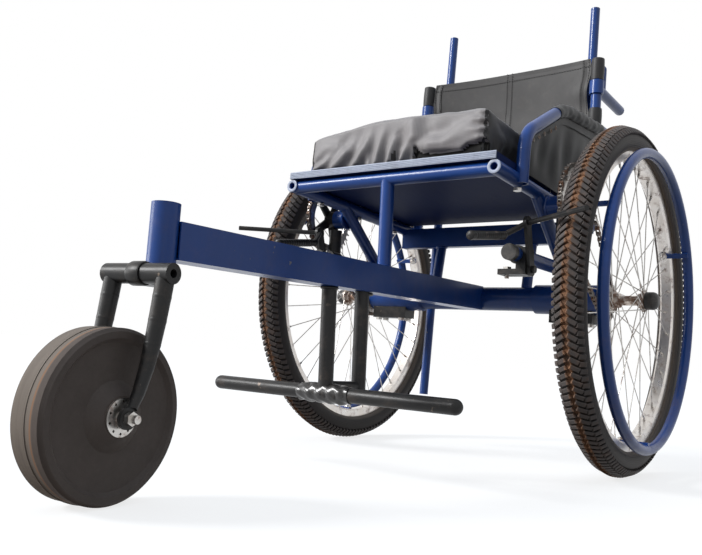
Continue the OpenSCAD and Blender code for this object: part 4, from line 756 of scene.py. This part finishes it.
def start_cushion():
    bm = bmesh.new()
    bmesh.ops.create_cube(bm, size=1.0)
    bmesh.ops.scale(bm, vec=(2 * PAD_HALF_W, PAD_LEN, PAD_H), verts=bm.verts)
    bmesh.ops.translate(bm, vec=(0, PAD_FRONT + PAD_LEN / 2, pad_low + PAD_H / 2), verts=bm.verts)
    upright = [e for e in bm.edges if abs(e.verts[0].co.z - e.verts[1].co.z) > PAD_H / 2]
    bmesh.ops.bevel(bm, geom=upright, offset=CORNER_BEVEL, affect="EDGES", segments=3, profile=0.5,
                    material=-1)
    level = [e for e in bm.edges if abs(e.verts[0].co.z - e.verts[1].co.z) < MERGE]
    bmesh.ops.bevel(bm, geom=level, offset=RIM_BEVEL, affect="EDGES", segments=2, profile=0.5,
                    material=-1)
    return bm


def apply_change(piece, change):
    """Applies one of a piece's modifiers."""
    bpy.context.view_layer.objects.active = piece
    bpy.ops.object.modifier_apply(modifier=change.name)


def remesh(piece, voxel):
    change = piece.modifiers.new("voxels", "REMESH")
    change.mode = "VOXEL"
    change.voxel_size = voxel
    apply_change(piece, change)


def seat_share(point):
    """Where a point of the cushion lies: -1 to 1 across and along, and 0 to 1 upwards."""
    return (point.x / PAD_HALF_W, (point.y - PAD_FRONT) / PAD_LEN * 2 - 1, (point.z - pad_low) / PAD_H)


cushion_mesh = bpy.data.meshes.new("cushion_cover")
block = start_cushion()
bmesh.ops.recalc_face_normals(block, faces=block.faces)
block.to_mesh(cushion_mesh)
block.free()
cushion = bpy.data.objects.new("cushion_cover", cushion_mesh)
scene.collection.objects.link(cushion)
remesh(cushion, PAD_VOXEL)
print("cushion block has", len(cushion.data.vertices), "points")

# %% [markdown]
# The simulation runs twenty steps with pressure inside and no gravity. Afterwards each point is held within
# the cap of where it began.

# %% Swell the cushion
PAD_PRESSURE = 4.0
PAD_FRAMES = 20


def swell(piece, pressure, frames, cap):
    rest = [v.co.copy() for v in piece.data.vertices]
    cloth = piece.modifiers.new("swell", "CLOTH")
    cloth.settings.use_pressure = True
    cloth.settings.uniform_pressure_force = pressure
    cloth.settings.effector_weights.gravity = 0.0
    cloth.settings.quality = 4
    for step in range(1, frames + 1):
        scene.frame_set(step)
    apply_change(piece, cloth)
    scene.frame_set(1)
    for vertex, start in zip(piece.data.vertices, rest):
        move = vertex.co - start
        if move.length > cap:
            vertex.co = start + move * (cap / move.length)


swell(cushion, PAD_PRESSURE, PAD_FRAMES, PAD_CAP)
print("cushion is", [round(1000 * side) for side in cushion.dimensions], "mm")

# %% [markdown]
# A cover that is larger than its foam lies in folds. On the front, long folds fan out from the lower
# middle, and short creases gather at the near corner's seam. Each fold is a line on a face, and points near
# it move outwards along a soft ridge. One subdivision comes first, because a fold needs fine points.

# %% Cushion folds
# Points of each fold on the front as (across, height) from its strong end, its half width and its height
FRONT_FOLDS = (
    (((0.25, 0.40), (0.20, 0.84), (0.14, 1.08)), 0.0150, 0.0060),
    (((0.11, 0.00), (0.15, 0.30), (0.22, 0.66)), 0.0078, 0.0085),
    (((-0.02, 0.00), (0.00, 0.34), (0.07, 0.92)), 0.0085, 0.0082),
    (((-0.18, 0.00), (-0.15, 0.40), (-0.07, 0.98)), 0.0080, 0.0072),
    (((-0.45, 0.02), (-0.31, 0.42), (-0.19, 0.92)), 0.0100, 0.0085),
    (((-0.72, 0.04), (-0.52, 0.36), (-0.32, 0.74)), 0.0095, 0.0075),
    (((-0.95, 0.06), (-0.74, 0.28), (-0.50, 0.50)), 0.0075, 0.0055),
    (((-0.28, 0.00), (-0.25, 0.22), (-0.20, 0.42)), 0.0060, 0.0042),
    (((0.34, 0.36), (0.55, 0.36), (0.80, 0.48)), 0.0095, 0.0045),
    (((0.98, 0.76), (0.90, 0.76), (0.76, 0.80)), 0.0046, 0.0042),
    (((0.98, 0.56), (0.90, 0.55), (0.74, 0.60)), 0.0050, 0.0060),
    (((0.98, 0.42), (0.90, 0.40), (0.80, 0.42)), 0.0044, 0.0044),
    (((0.98, 0.92), (0.92, 0.91), (0.84, 0.94)), 0.0044, 0.0026))
# Height of the cover's drawn up lower lip across the front, and how deep it is tucked below that
LIP = ((-0.97, 0.03), (0.22, 0.03), (0.25, 0.40), (0.33, 0.27), (0.57, 0.24), (0.73, 0.23), (0.80, 0.33),
       (0.93, 0.38), (0.985, 0.38))
LIP_DEPTH = 0.0075
fold_draw = random.Random(11)
refine = cushion.modifiers.new("refine", "SUBSURF")
refine.levels = refine.render_levels = 1
apply_change(cushion, refine)


def soft_step(value):
    value = max(0.0, min(1.0, value))
    return value * value * (3 - 2 * value)


def between(table, place):
    """A value read off a table of (place, value) by straight lines, and 0 outside it."""
    for (p0, v0), (p1, v1) in zip(table, table[1:]):
        if p0 <= place <= p1:
            return v0 + (v1 - v0) * (place - p0) / (p1 - p0)
    return 0.0


def near_line(point, start, end):
    """Distance from a point to a line between two others, and the share along it."""
    along = end - start
    share = max(0.0, min(1.0, (point - start).dot(along) / along.length_squared))
    return (point - start - share * along).length, share


def fold_rise(spot, points, width, rise):
    """Height of a fold at a spot: it is strong near its first point and dies out at its last."""
    count = len(points) - 1
    distance, share = min((reach, (k + part) / count) for k in range(count)
                          for reach, part in (near_line(spot, points[k], points[k + 1]),))
    width *= 0.85 + 0.5 * share
    ridge = math.exp(-(distance / width) ** 2) - 0.5 * math.exp(-((distance - 1.9 * width) / width) ** 2)
    return rise * ridge * (0.35 + 0.65 * soft_step(share / 0.15)) * (1 - soft_step((share - 0.30) / 0.70))


def side_folds(count):
    """Slanted folds for one of the other faces, drawn at random from a fixed seed."""
    made = []
    for k in range(count):
        foot = -0.9 + 1.8 * (k + fold_draw.random() * 0.7) / count
        top = foot + fold_draw.uniform(-0.22, 0.22)
        made.append((((foot, 0.02), (top, fold_draw.uniform(0.45, 0.90))),
                     fold_draw.uniform(0.007, 0.011), fold_draw.uniform(0.0024, 0.0048)))
    return made


def on_face(folds):
    """Folds with their points in metres on their face."""
    return [([Vector((over * PAD_HALF_W, height * PAD_H)) for over, height in points], width, rise)
            for points, width, rise in folds]


folds_of = {"front": on_face(FRONT_FOLDS), "back": on_face(side_folds(6)), "left": on_face(side_folds(5)),
            "right": on_face(side_folds(6))}
print({face: len(folds) for face, folds in folds_of.items()}, "folds on",
      len(cushion.data.vertices), "points")

# %% [markdown]
# The folds go onto the swollen skin, one face at a time, together with the tucked lip. The foam is higher
# in the middle of its front than at its ends, and the near front corner stands up in a small ear. At the
# end nothing sinks into the board.

# %% Shape the cover
FACE_OUT = {"front": Vector((0, -1, 0)), "back": Vector((0, 1, 0)), "left": Vector((1, 0, 0)),
            "right": Vector((-1, 0, 0))}
TUCK = 0.006
EAR = 0.005


def foam_rise(across, along):
    """How much higher than its block the foam stands."""
    dome = 0.014 - (0.008 if across > 0 else 0.024) * across ** 2
    return dome * (1 - 0.45 * soft_step((along + 1) / 2))


def face_move(face, over, height):
    spot = Vector((over * PAD_HALF_W, height * PAD_H))
    rise = sum(fold_rise(spot, points, width, lift) for points, width, lift in folds_of[face])
    tuck = TUCK * max(0.0, 1 - height / 0.14) ** 2
    if face == "front":
        tuck += LIP_DEPTH * soft_step((between(LIP, over) - height) / 0.07)
    return rise - tuck


def shape_cover(piece):
    piece.data.update()
    normals = [v.normal.copy() for v in piece.data.vertices]
    for vertex, normal in zip(piece.data.vertices, normals):
        across, along, height = seat_share(vertex.co)
        move = Vector((0, 0, 0))
        for face, out in FACE_OUT.items():
            facing = soft_step(1.5 * normal.dot(out))
            if facing > 0.02:
                move += out * facing * face_move(face, across if out.x == 0 else along, height)
        top = soft_step(normal.z) * max(0.0, 1 - across ** 2) * max(0.0, 1 - along ** 2)
        creases = 0.0012 * math.sin(9 * across + 4 * along) + 0.0010 * math.sin(13 * along - 6 * across)
        ear = EAR * math.exp(-((1 - across) / 0.07) ** 2 - ((along + 1) / 0.05) ** 2)
        lift = (foam_rise(across, along) + ear) * max(0.0, min(1.0, height))
        move.z += top * (PAD_CROWN + creases) + lift
        vertex.co += move
        vertex.co.z = max(vertex.co.z, pad_low)


shape_cover(cushion)
print("cover spans", [round(1000 * side) for side in cushion.dimensions], "mm")

# %% [markdown]
# The cover then rides on the frame in place of the plain block. Its faces below the lip get a near black finish,
# painted shade for the shade under the lip, and its side panels get the darker nylon of the sling, painted shade
# for the shaded sides, so those faces get finishes of their own.

# %% Fit the cushion
def under_lip(point):
    """Whether a point lies below the cover's lower lip, where a near black finish paints the shade under it."""
    across, along, height = seat_share(point)
    return along < -0.90 and height < between(LIP, across) - 0.03


def fit_cushion(piece):
    piece.data.materials.clear()
    for finish in (cover_nylon, lip_painted_shade, nylon):
        piece.data.materials.append(finish)
    for face in piece.data.polygons:
        # Faces under the lip and the side faces get darker finishes as painted shade
        face.material_index = 1 if under_lip(face.center) else 2 if abs(face.normal.x) > 0.8 else 0
    piece.data.transform(SEAT)
    piece.data.shade_smooth()
    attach(piece, "frame")
    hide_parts("cushion")


fit_cushion(cushion)
print("cushion has", len(cushion.data.polygons), "faces and", len(cushion.data.materials), "finishes")

# %% [markdown]
# A strip of cloth that follows a line, such as a binding, a seam or a hem, is a narrow grid laid along it.
# It is one flat layer, without thickness. Stitches are short six sided beads set along the same line.

# %% Ribbons and stitches
def add_ribbon(bm, points, halves):
    """A flat strip along points: halves holds half its width at each of them as a vector."""
    steps = len(points) - 1
    for vertex in bmesh.ops.create_grid(bm, x_segments=1, y_segments=steps, size=1.0)["verts"]:
        k = round((vertex.co.y + 1) / 2 * steps)
        vertex.co = points[k] + halves[k] * vertex.co.x


STITCH = ((0.0, 0.0), (0.0004, 0.00055), (0.0012, 0.00075), (0.0028, 0.00075), (0.0036, 0.00055),
          (0.004, 0.0))
STITCH_STEP = 0.0062
STITCH_SIDES = 6


def add_stitches(bm, points, lift):
    """Stitches along a chain of points, lifted off it by a vector."""
    run = 0.0
    for start, end in zip(points, points[1:]):
        length = (end - start).length
        while run < length:
            foot = start + (end - start) * (run / length) + lift
            spin_profile(bm, STITCH, frame_along(foot, foot + (end - start)), STITCH_SIDES)
            run += STITCH_STEP
        run -= length


print("stitches every", 1000 * STITCH_STEP, "mm")

# %% [markdown]
# The cover is closed at its front corners. On the near one the cloth overlaps in a dark seam, and on the
# far one a pale binding shows. Rays cast at the corner find the folded skin, and a ribbon follows their
# hits.

# %% Cushion corner seams
SEAM_STEPS = 26
RAY_START = 0.05
SEAM_LIFT = 0.0004


def corner_line(sign, low, high):
    """Points on the cover's front corner, from a low share of its height to a high one."""
    turn = SEAT.to_3x3()
    towards = turn @ Vector((-sign, 1, 0)).normalized()
    line = []
    for k in range(SEAM_STEPS + 1):
        level = pad_low + PAD_H * (low + (high - low) * k / SEAM_STEPS)
        start = SEAT @ Vector((sign * (PAD_HALF_W + RAY_START), PAD_FRONT - RAY_START, level))
        hit, place, normal, face = cushion.ray_cast(start, towards)
        if hit:
            line.append(place - towards * SEAM_LIFT)
    return line


def make_corner_seam(name, sign, low, high, half, finish):
    line = corner_line(sign, low, high)
    across = SEAT.to_3x3() @ Vector((sign, 1, 0)).normalized()
    halves = [across * half * (1 + 0.25 * math.sin(1.9 * k)) for k in range(len(line))]
    make_piece(name, lambda bm: add_ribbon(bm, line, halves), finish, "frame")


make_corner_seam("cushion_seam", 1, 0.10, 1.08, 0.0032, nylon_tape)
make_corner_seam("cushion_binding", -1, 0.10, 0.86, 0.0036, binding_pale)

# %% [markdown]
# The sling is a sheet of nylon stretched between the posts. It hangs back in the middle, ripples a little
# where its loops pull, and leaves a slit to each post between the loops. A grid is bent into that shape row
# by row, and solidify gives it the thickness of doubled cloth.

# %% Backrest sling
BACK_LEAN = math.radians(3.1)
POST_TOP = Vector((0.212, 0.4515, 0.865))
SLING_LOW, SLING_HIGH = 0.585, 0.8745
SLING_HALF = 0.1986
SLING_SAG = 0.014
SLING_T = 0.0022
SLING_GRID = (48, 36)
# Lower and upper edge of the tape loops on each post
LOOPS = ((0.716, 0.756), (0.821, 0.869))


def post_y(height):
    return POST_TOP.y - math.tan(BACK_LEAN) * (POST_TOP.z - height)


def sling_point(across, height):
    """A point of the sling: across from -1 to 1 at a height above the ground."""
    pull = sum(math.exp(-((height - sum(loop) / 2) / 0.030) ** 2) for loop in LOOPS)
    slack = (1 - min(1.0, pull)) * abs(across) ** 6
    ripple = 0.0022 * math.sin(34 * height + 3 * across) * (1 - across ** 2)
    sag = SLING_SAG * (1 - across ** 2) + ripple + 0.004 * slack * math.sin(60 * height)
    half = SLING_HALF - 0.007 * slack
    return Vector((half * across, post_y(height) + sag, height))


def bend_sheet(bm, segments, point_at, thickness):
    """A grid bent by a function of two values from -1 to 1, and given a thickness."""
    bmesh.ops.create_grid(bm, x_segments=segments[0], y_segments=segments[1], size=1.0)
    for vertex in bm.verts:
        vertex.co = point_at(vertex.co.x, vertex.co.y)
    bmesh.ops.recalc_face_normals(bm, faces=bm.faces)
    bmesh.ops.solidify(bm, geom=bm.faces[:], thickness=thickness)


def sling_shape(bm):
    height = SLING_HIGH - SLING_LOW
    bend_sheet(bm, SLING_GRID, lambda x, y: sling_point(x, SLING_LOW + height * (y + 1) / 2), SLING_T)


sling = make_piece("sling_cloth", sling_shape, nylon, "frame")

# %% [markdown]
# Hems and seams are what makes a sheet look sewn. The sling's edges have flat hems, and a tape covers the
# middle seam. Two rows of stitches run along each upright one, and one row along the upper hem.

# %% Sling hems and stitches
HEM_HALF = 0.009
HEM_GAP = 0.0005
ROW_LIFT, COLUMN_LIFT = 0.0022, 0.0025
SEAMS_AT = (-0.945, 0.0, 0.945)
ROW_REACH, COLUMN_END = 0.985, 0.002
STITCH_OFF = 0.0062
ROW_STITCH_LIFT, COLUMN_STITCH_LIFT = 0.0015, 0.0014
FRONT = Vector((0, -1, 0))


def sling_row(height, lift, count=40):
    return [sling_point(ROW_REACH * (2 * k / count - 1), height) + FRONT * lift for k in range(count + 1)]


def sling_column(across, lift, count=30):
    low, high = SLING_LOW + COLUMN_END, SLING_HIGH - COLUMN_END
    return [sling_point(across, low + (high - low) * k / count) + FRONT * lift for k in range(count + 1)]


def sling_hem_shape(bm):
    for height in (SLING_HIGH - HEM_HALF - HEM_GAP, SLING_LOW + HEM_HALF + HEM_GAP):
        row = sling_row(height, ROW_LIFT)
        add_ribbon(bm, row, [UP * HEM_HALF] * len(row))
    for place in SEAMS_AT:
        column = sling_column(place, COLUMN_LIFT)
        add_ribbon(bm, column, [ACROSS * HEM_HALF] * len(column))


def sling_stitch_shape(bm):
    row = sling_row(SLING_HIGH - 2 * HEM_HALF, ROW_LIFT + ROW_STITCH_LIFT, 24)
    add_stitches(bm, row, Vector((0, 0, 0)))
    for place in SEAMS_AT:
        for shift in (-STITCH_OFF, STITCH_OFF):
            column = sling_column(place, COLUMN_LIFT + COLUMN_STITCH_LIFT, 12)
            add_stitches(bm, column, ACROSS * shift)


sling_hems = make_piece("sling_hems", sling_hem_shape, nylon, "frame")
sling_stitches = make_piece("sling_stitches", sling_stitch_shape, thread_grey, "frame")

# %% [markdown]
# Four loops of tape sleeve over the posts and carry the sling. A loop is a spun band, a little barrel
# shaped because the tape is slack between its seams.

# %% Sling loops
LOOP_R = 0.01135
LOOP_WALL = 0.0022
LOOP_BULGE = 0.0008
LOOP_BANDS, LOOP_STEPS = 8, 36


def loop_shape(bm):
    for side, sign in SIDES:
        for low, high in LOOPS:
            start, end = (Vector((sign * POST_TOP.x, post_y(z), z)) for z in (low, high))
            span = (end - start).length
            shares = [k / LOOP_BANDS for k in range(LOOP_BANDS + 1)]
            outer = [(span * share, LOOP_R + LOOP_WALL + LOOP_BULGE * math.sin(math.pi * share))
                     for share in shares]
            inner = [(span, LOOP_R), (0.0, LOOP_R)]
            spin_profile(bm, outer + inner, frame_along(start, end), LOOP_STEPS, closed=True)


sling_loops = make_piece("sling_loops", loop_shape, nylon_tape, "frame")
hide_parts("backrest_sling")
print("sling hangs on", len(SIDES) * len(LOOPS), "loops")

# %% [markdown]
# A side guard is a bent tube with a panel of nylon inside it. The tube's middle line is needed three times,
# for the panel's upper edge, for its eyelets and for the sleeve, so its corners are rounded off here into a
# chain of points.

# %% Guard line
GUARD_X = 0.230
GUARD_R = 0.0115
# Corners of the tube's line as (back, height), and the radius of each bend
GUARD_CORNERS = ((0.0525, 0.503), (0.0575, 0.594), (0.2175, 0.684), (0.4427, 0.702))
GUARD_BENDS = (0.058, 0.160)
BEND_STEPS = 10


def round_corners(corners, radii):
    """A chain of corners with an arc at each inner one."""
    line = [Vector(corners[0])]
    for before, corner, after, radius in zip(corners, corners[1:], corners[2:], radii):
        corner = Vector(corner)
        back, ahead = (Vector(before) - corner).normalized(), (Vector(after) - corner).normalized()
        half = back.angle(ahead) / 2
        reach = radius / math.tan(half)
        centre = corner + (back + ahead).normalized() * (radius / math.sin(half))
        start, end = corner + back * reach - centre, corner + ahead * reach - centre
        for k in range(BEND_STEPS + 1):
            line.append(centre + start.lerp(end, k / BEND_STEPS).normalized() * radius)
    return line + [Vector(corners[-1])]


guard_line = round_corners(GUARD_CORNERS, GUARD_BENDS)


def guard_height(back):
    """Height of the tube's middle line at a distance back, and its slope there."""
    for low, high in zip(guard_line, guard_line[1:]):
        if low.x <= back <= high.x and high.x - low.x > 1e-5:
            slope = (high.y - low.y) / (high.x - low.x)
            return low.y + slope * (back - low.x), slope
    return guard_line[-1].y, 0.0


print("guard line has", len(guard_line), "points")

# %% [markdown]
# The panel's outline follows the tube above and the rail below. It hangs in soft upright folds of uneven
# width, because it is laced only at some places. A grid is bent into that shape and solidify gives it the
# thickness of the cloth.

# %% Side guard panels
RAIL_FRONT = Vector((0.218, -0.0295, 0.516))
SEAT_FALL = math.tan(math.radians(2.4))
PANEL_FRONT_Y, PANEL_REAR_Y = 0.0715, 0.4225
PANEL_T = 0.0018
PANEL_GRID = (60, 24)
TUBE_GAP, RAIL_GAP = 0.0012, 0.0150


def panel_top(back):
    height, slope = guard_height(back)
    return height - (GUARD_R + TUBE_GAP) * (1 + slope * slope) ** 0.5


def panel_low(back):
    return RAIL_FRONT.z - SEAT_FALL * (back - RAIL_FRONT.y) + RAIL_GAP


def panel_point(along, up):
    """A point of the left panel: shares from front to back and from the rail to the tube."""
    back = PANEL_FRONT_Y + (PANEL_REAR_Y - PANEL_FRONT_Y) * along
    low, high = panel_low(back), panel_top(back)
    wave = 0.0016 * math.sin(19 * along + 2.2 * up) + 0.0011 * math.sin(37 * along - 3.1 * up + 1.0)
    belly = 0.0035 * math.sin(math.pi * along)
    return Vector((GUARD_X + (wave - belly) * math.sin(math.pi * up), back, low + (high - low) * up))


def panel_shape(bm):
    bend_sheet(bm, PANEL_GRID, lambda x, y: panel_point((x + 1) / 2, (y + 1) / 2), PANEL_T)


panels = make_pair("guard_cloth_{}", panel_shape, guard_nylon, "frame")
for panel in panels:
    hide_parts("guard_panels")

# %% [markdown]
# Along its upper run the tube lies in a sleeve that is sewn onto the panel. The sleeve is a spun profile
# with an outer and an inner skin, bent along the tube's line, and its outer radius varies a little, as
# slack cloth does. Small eyelets and a hem finish the panel's upper edge.

# %% Guard sleeves, eyelets and hems
SLEEVE_FROM, SLEEVE_TO = 0.185, 0.424
SLEEVE_STEPS, SLEEVE_SIDES = 40, 20
SLEEVE_GAP = 0.0002
EYELETS = (0.05, 0.12, 0.19, 0.26, 0.33)
EYELET_UP, EYELET_OUT, EYELET_STEPS = 0.90, 0.0022, 16
EYELET_RIM = [(0.0009 * math.sin(math.pi * k / 3), 0.0034 + 0.0010 * math.cos(math.pi * k / 3))
              for k in range(6)]
HEM_UP, HEM_FOOT, HEM_OUT, HEM_SHARE, HEM_STEPS = 0.955, 0.91, 0.0020, 0.48, 60


def sleeve_shape(bm):
    outer = [(k, 2.0) for k in range(SLEEVE_STEPS + 1)]
    inner = [(k, 1.0) for k in reversed(range(SLEEVE_STEPS + 1))]
    spin_profile(bm, outer + inner, Matrix(), SLEEVE_SIDES, closed=True)
    for vertex in bm.verts:
        step, angle = vertex.co.z, math.atan2(vertex.co.y, vertex.co.x)
        back = SLEEVE_FROM + (SLEEVE_TO - SLEEVE_FROM) * step / SLEEVE_STEPS
        height, slope = guard_height(back)
        way = ACROSS * math.cos(angle) + Vector((0, -slope, 1)).normalized() * math.sin(angle)
        slack = 0.0013 + 0.0006 * math.sin(3 * angle + 0.9 * step) + 0.0005 * math.sin(1.7 * step)
        gap = slack if vertex.co.xy.length > 1.5 else SLEEVE_GAP
        vertex.co = Vector((GUARD_X, back, height)) + way * (GUARD_R + gap)


def eyelet_shape(bm):
    for along in EYELETS:
        for face in (1, -1):
            centre = panel_point(along, EYELET_UP) + ACROSS * (face * EYELET_OUT)
            spin_profile(bm, EYELET_RIM, frame_along(centre, centre + ACROSS), EYELET_STEPS, closed=True)


def panel_hem_shape(bm):
    shares = [k / HEM_STEPS for k in range(HEM_STEPS + 1)]
    halves = [(panel_point(share, 1.0) - panel_point(share, HEM_FOOT)) * HEM_SHARE for share in shares]
    for face in (1, -1):
        row = [panel_point(share, HEM_UP) + ACROSS * (face * HEM_OUT) for share in shares]
        add_ribbon(bm, row, halves)


sleeves = make_pair("guard_sleeve_{}", sleeve_shape, guard_nylon, "frame")
eyelets = make_pair("guard_eyelets_{}", eyelet_shape, oiled_steel, "frame")
panel_hems = make_pair("guard_hem_{}", panel_hem_shape, nylon_tape, "frame")

# %% [markdown]
# The panel's flat size is printed. The panel isn't a rectangle, so its area is added up in narrow strips.

# %% Guard panel sizes
AREA_STRIPS = 100
panel_len = PANEL_REAR_Y - PANEL_FRONT_Y
strips_at = [PANEL_FRONT_Y + panel_len * (k + 0.5) / AREA_STRIPS for k in range(AREA_STRIPS)]
panel_area = sum((panel_top(back) - panel_low(back)) * panel_len / AREA_STRIPS for back in strips_at)
print("each guard panel is", round(panel_area, 4), "square metres")

# %% [markdown]
# The foot bar's middle is wrapped in shiny black tape that has crumpled. A band is spun round the bar and
# its points move in and out by crossing waves.

# %% Foot bar tape
TAPE_HALF = 0.052
TAPE_R, TAPE_IN_R, TAPE_SKIN_R = 0.0158, 0.0123, 0.0130
TAPE_BANDS, TAPE_STEPS = 60, 48


def foot_tape_shape(bm):
    low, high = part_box("foot_bar")
    middle = Vector((0, (low.y + high.y) / 2, (low.z + high.z) / 2))
    outer = [(2 * TAPE_HALF * k / TAPE_BANDS, TAPE_R) for k in range(TAPE_BANDS + 1)]
    inner = [(2 * TAPE_HALF, TAPE_IN_R), (0.0, TAPE_IN_R)]
    place = frame_along(middle - ACROSS * TAPE_HALF, middle)
    spin_profile(bm, outer + inner, place, TAPE_STEPS, closed=True)
    for vertex in bm.verts:
        way = Vector((0, vertex.co.y - middle.y, vertex.co.z - middle.z))
        if way.length > TAPE_SKIN_R:
            turn, along = math.atan2(way.z, way.y), vertex.co.x / TAPE_HALF
            crumple = (math.sin(2 * turn + 6.1 * along + 0.7) * math.sin(9.3 * along - turn)
                       + 0.5 * math.sin(4 * turn - 15 * along))
            pinch = 0.0022 * soft_step((abs(along) - 0.62) / 0.3)
            vertex.co += way.normalized() * (0.0011 * crumple - pinch)


make_piece("foot_tape", foot_tape_shape, black_tape, "frame")

# %% [markdown]
# The side rails end in front in open, turned rings, in the same pale blue grey as the board's edge strip.

# %% Rail end rings
RING = ((0.0, 0.0066), (-0.0009, 0.0070), (-0.0013, 0.0095), (-0.0009, 0.0120), (0.0, 0.0124))
RING_STEPS = 40


def rail_ring_shape(bm):
    along = SEAT.to_3x3() @ Vector((0, 1, 0))
    for side, sign in SIDES:
        front = Vector((sign * RAIL_FRONT.x, RAIL_FRONT.y, RAIL_FRONT.z))
        spin_profile(bm, RING, frame_along(front, front + along), RING_STEPS, closed=True)


make_piece("rail_end_rings", rail_ring_shape, strip_paint, "frame")

# %% [markdown]
# A short collar with rounded edges stands in the middle of the fork's crown tube, where the steerer holds
# it.

# %% Crown collar
COLLAR_HALF = 0.011
COLLAR_STEPS = 40
COLLAR_PROFILE = ((-1.0, 0.0131), (-1.0, 0.0148), (-0.8, 0.0156), (0.8, 0.0156), (1.0, 0.0148),
                  (1.0, 0.0131))


def collar_shape(bm):
    low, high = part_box("fork_crown")
    middle = (low + high) / 2
    profile = [(COLLAR_HALF * along, radius) for along, radius in COLLAR_PROFILE]
    axis = Matrix.Rotation(CASTER_TURN, 3, "Z") @ ACROSS
    spin_profile(bm, profile, frame_along(middle, middle + axis), COLLAR_STEPS, closed=True)


make_piece("crown_collar", collar_shape, satin_black, "fork")

# %% [markdown]
# The lock levers end in black grips with ribs, which the hand pulls. A grip is a spun profile that runs in
# and out along the lever's end.

# %% Lock grips
GRIP_START = Vector((0.207, 0.0395, 0.413))
GRIP_END = Vector((0.205, -0.0725, 0.395))
GRIP_RIBS = 13
GRIP_STEPS = 28
GRIP_OVER = 0.003
RIBS_FROM, RIBS_SHORT = 0.014, 0.022


def grip_shape(bm):
    length = (GRIP_END - GRIP_START).length + GRIP_OVER
    step = (length - RIBS_SHORT) / GRIP_RIBS
    profile = [(0.010, 0.0062), (0.011, 0.0072)]
    for k in range(GRIP_RIBS):
        start = RIBS_FROM + step * k
        profile += [(start, 0.0068), (start + 0.3 * step, 0.0076), (start + 0.7 * step, 0.0076)]
    profile += [(length - 0.007, 0.0078), (length - 0.002, 0.0074), (length, 0.0050),
                (length + 0.0008, 0.0)]
    spin_profile(bm, profile, frame_along(GRIP_START, GRIP_END), GRIP_STEPS)
    bmesh.ops.holes_fill(bm, edges=[e for e in bm.edges if e.is_boundary])


make_pair("lock_grip_{}", grip_shape, satin_black, "lock_{}")

# %% [markdown]
# The floor is pale and plain. To the camera and in shiny metal it is nearly white with the chair's shadow
# on it; to the light that bounces off it, it is a duller tone, so that the undersides stay dark as they do
# over bare earth. Light Path tells the two apart. The sky behind does the same, and its light grows from
# the horizon up.

# %% Floor and sky
FLOOR_SIZE = 40.0
FLOOR_DROP = 0.0006
FLOOR_GLOW = 0.74
SKY_TOP = 0.85
SKY_LOW = 0.16


def seen_directly(wire):
    """1 for rays from the camera, and for those that a shiny or clear surface sends on."""
    camera, glossy, clear = (wire.node("ShaderNodeLightPath", out=kind) for kind in (
        "Is Camera Ray", "Is Glossy Ray", "Is Transmission Ray"))
    return camera.maths("MAXIMUM", camera, camera.maths("MAXIMUM", glossy, clear))


def make_floor():
    bm = bmesh.new()
    bmesh.ops.create_circle(bm, cap_ends=True, segments=64, radius=FLOOR_SIZE)
    bmesh.ops.translate(bm, vec=(0, 0, -FLOOR_DROP), verts=bm.verts)
    mesh = bpy.data.meshes.new("floor")
    bm.to_mesh(mesh)
    bm.free()
    floor = bpy.data.objects.new("floor", mesh)
    scene.collection.objects.link(floor)
    finish = bpy.data.materials.new("pale_floor")
    wire = empty_tree(finish)
    dull = wire.node("ShaderNodeBsdfDiffuse", {}, {"Color": rgb(0.17, 0.14, 0.12)})
    pale = wire.node("ShaderNodeBsdfDiffuse", {}, {"Color": rgb(0.95, 0.95, 0.95)})
    glow = wire.node("ShaderNodeEmission", {}, {"Color": rgb(1, 1, 1), "Strength": 1.05})
    shown = wire.node("ShaderNodeMixShader", {}, {0: FLOOR_GLOW, 1: pale, 2: glow})
    both = wire.node("ShaderNodeMixShader", {}, {0: seen_directly(wire), 1: dull, 2: shown})
    wire.node("ShaderNodeOutputMaterial", {}, {"Surface": both})
    mesh.materials.append(finish)


def make_sky():
    world = bpy.data.worlds.new("studio")
    scene.world = world
    wire = empty_tree(world)
    top = wire.node("ShaderNodeBackground", {}, {"Color": rgb(0.72, 0.85, 1.0), "Strength": SKY_TOP})
    low = wire.node("ShaderNodeBackground", {}, {"Color": rgb(0.80, 0.88, 1.0), "Strength": SKY_LOW})
    rise = wire.node("ShaderNodeTexCoord", out="Generated").split()[2]
    light = wire.node("ShaderNodeMixShader", {}, {0: rise.ramp(0.05, 0.85), 1: low, 2: top})
    white = wire.node("ShaderNodeBackground", {}, {"Color": rgb(1, 1, 1), "Strength": 1.0})
    both = wire.node("ShaderNodeMixShader", {}, {0: seen_directly(wire), 1: light, 2: white})
    wire.node("ShaderNodeOutputWorld", {}, {"Surface": both})


make_floor()
make_sky()
print("floor of", 2 * FLOOR_SIZE, "m and a sky from", SKY_LOW, "to", SKY_TOP)

# %% [markdown]
# The main light comes from the front and the sitter's right, high up, which lights the cushion's front and
# leaves the near side in soft shade. A low light from the same side draws a bright line down the upright
# tubes, and a weak light from the other side fills the shade. Sun lamps light the wide floor evenly, and a
# large angle makes them soft.

# %% Lights
LAMPS = (("key_light", (-0.62, -0.68, 0.54), 3.40, 0.26), ("side_light", (-0.90, -0.42, 0.10), 0.90, 0.45),
         ("fill_light", (0.80, -0.45, 0.50), 0.12, 0.90))


def add_lamp(name, towards, strength, angle):
    lamp = bpy.data.objects.new(name, bpy.data.lights.new(name, "SUN"))
    scene.collection.objects.link(lamp)
    lamp.data.energy = strength
    lamp.data.angle = angle
    lamp.rotation_euler = Vector(towards).to_track_quat("Z", "Y").to_euler()
    return lamp


lamps = [add_lamp(*lamp) for lamp in LAMPS]
scene.view_settings.view_transform = "Standard"
print("lit by", [lamp.name for lamp in lamps])
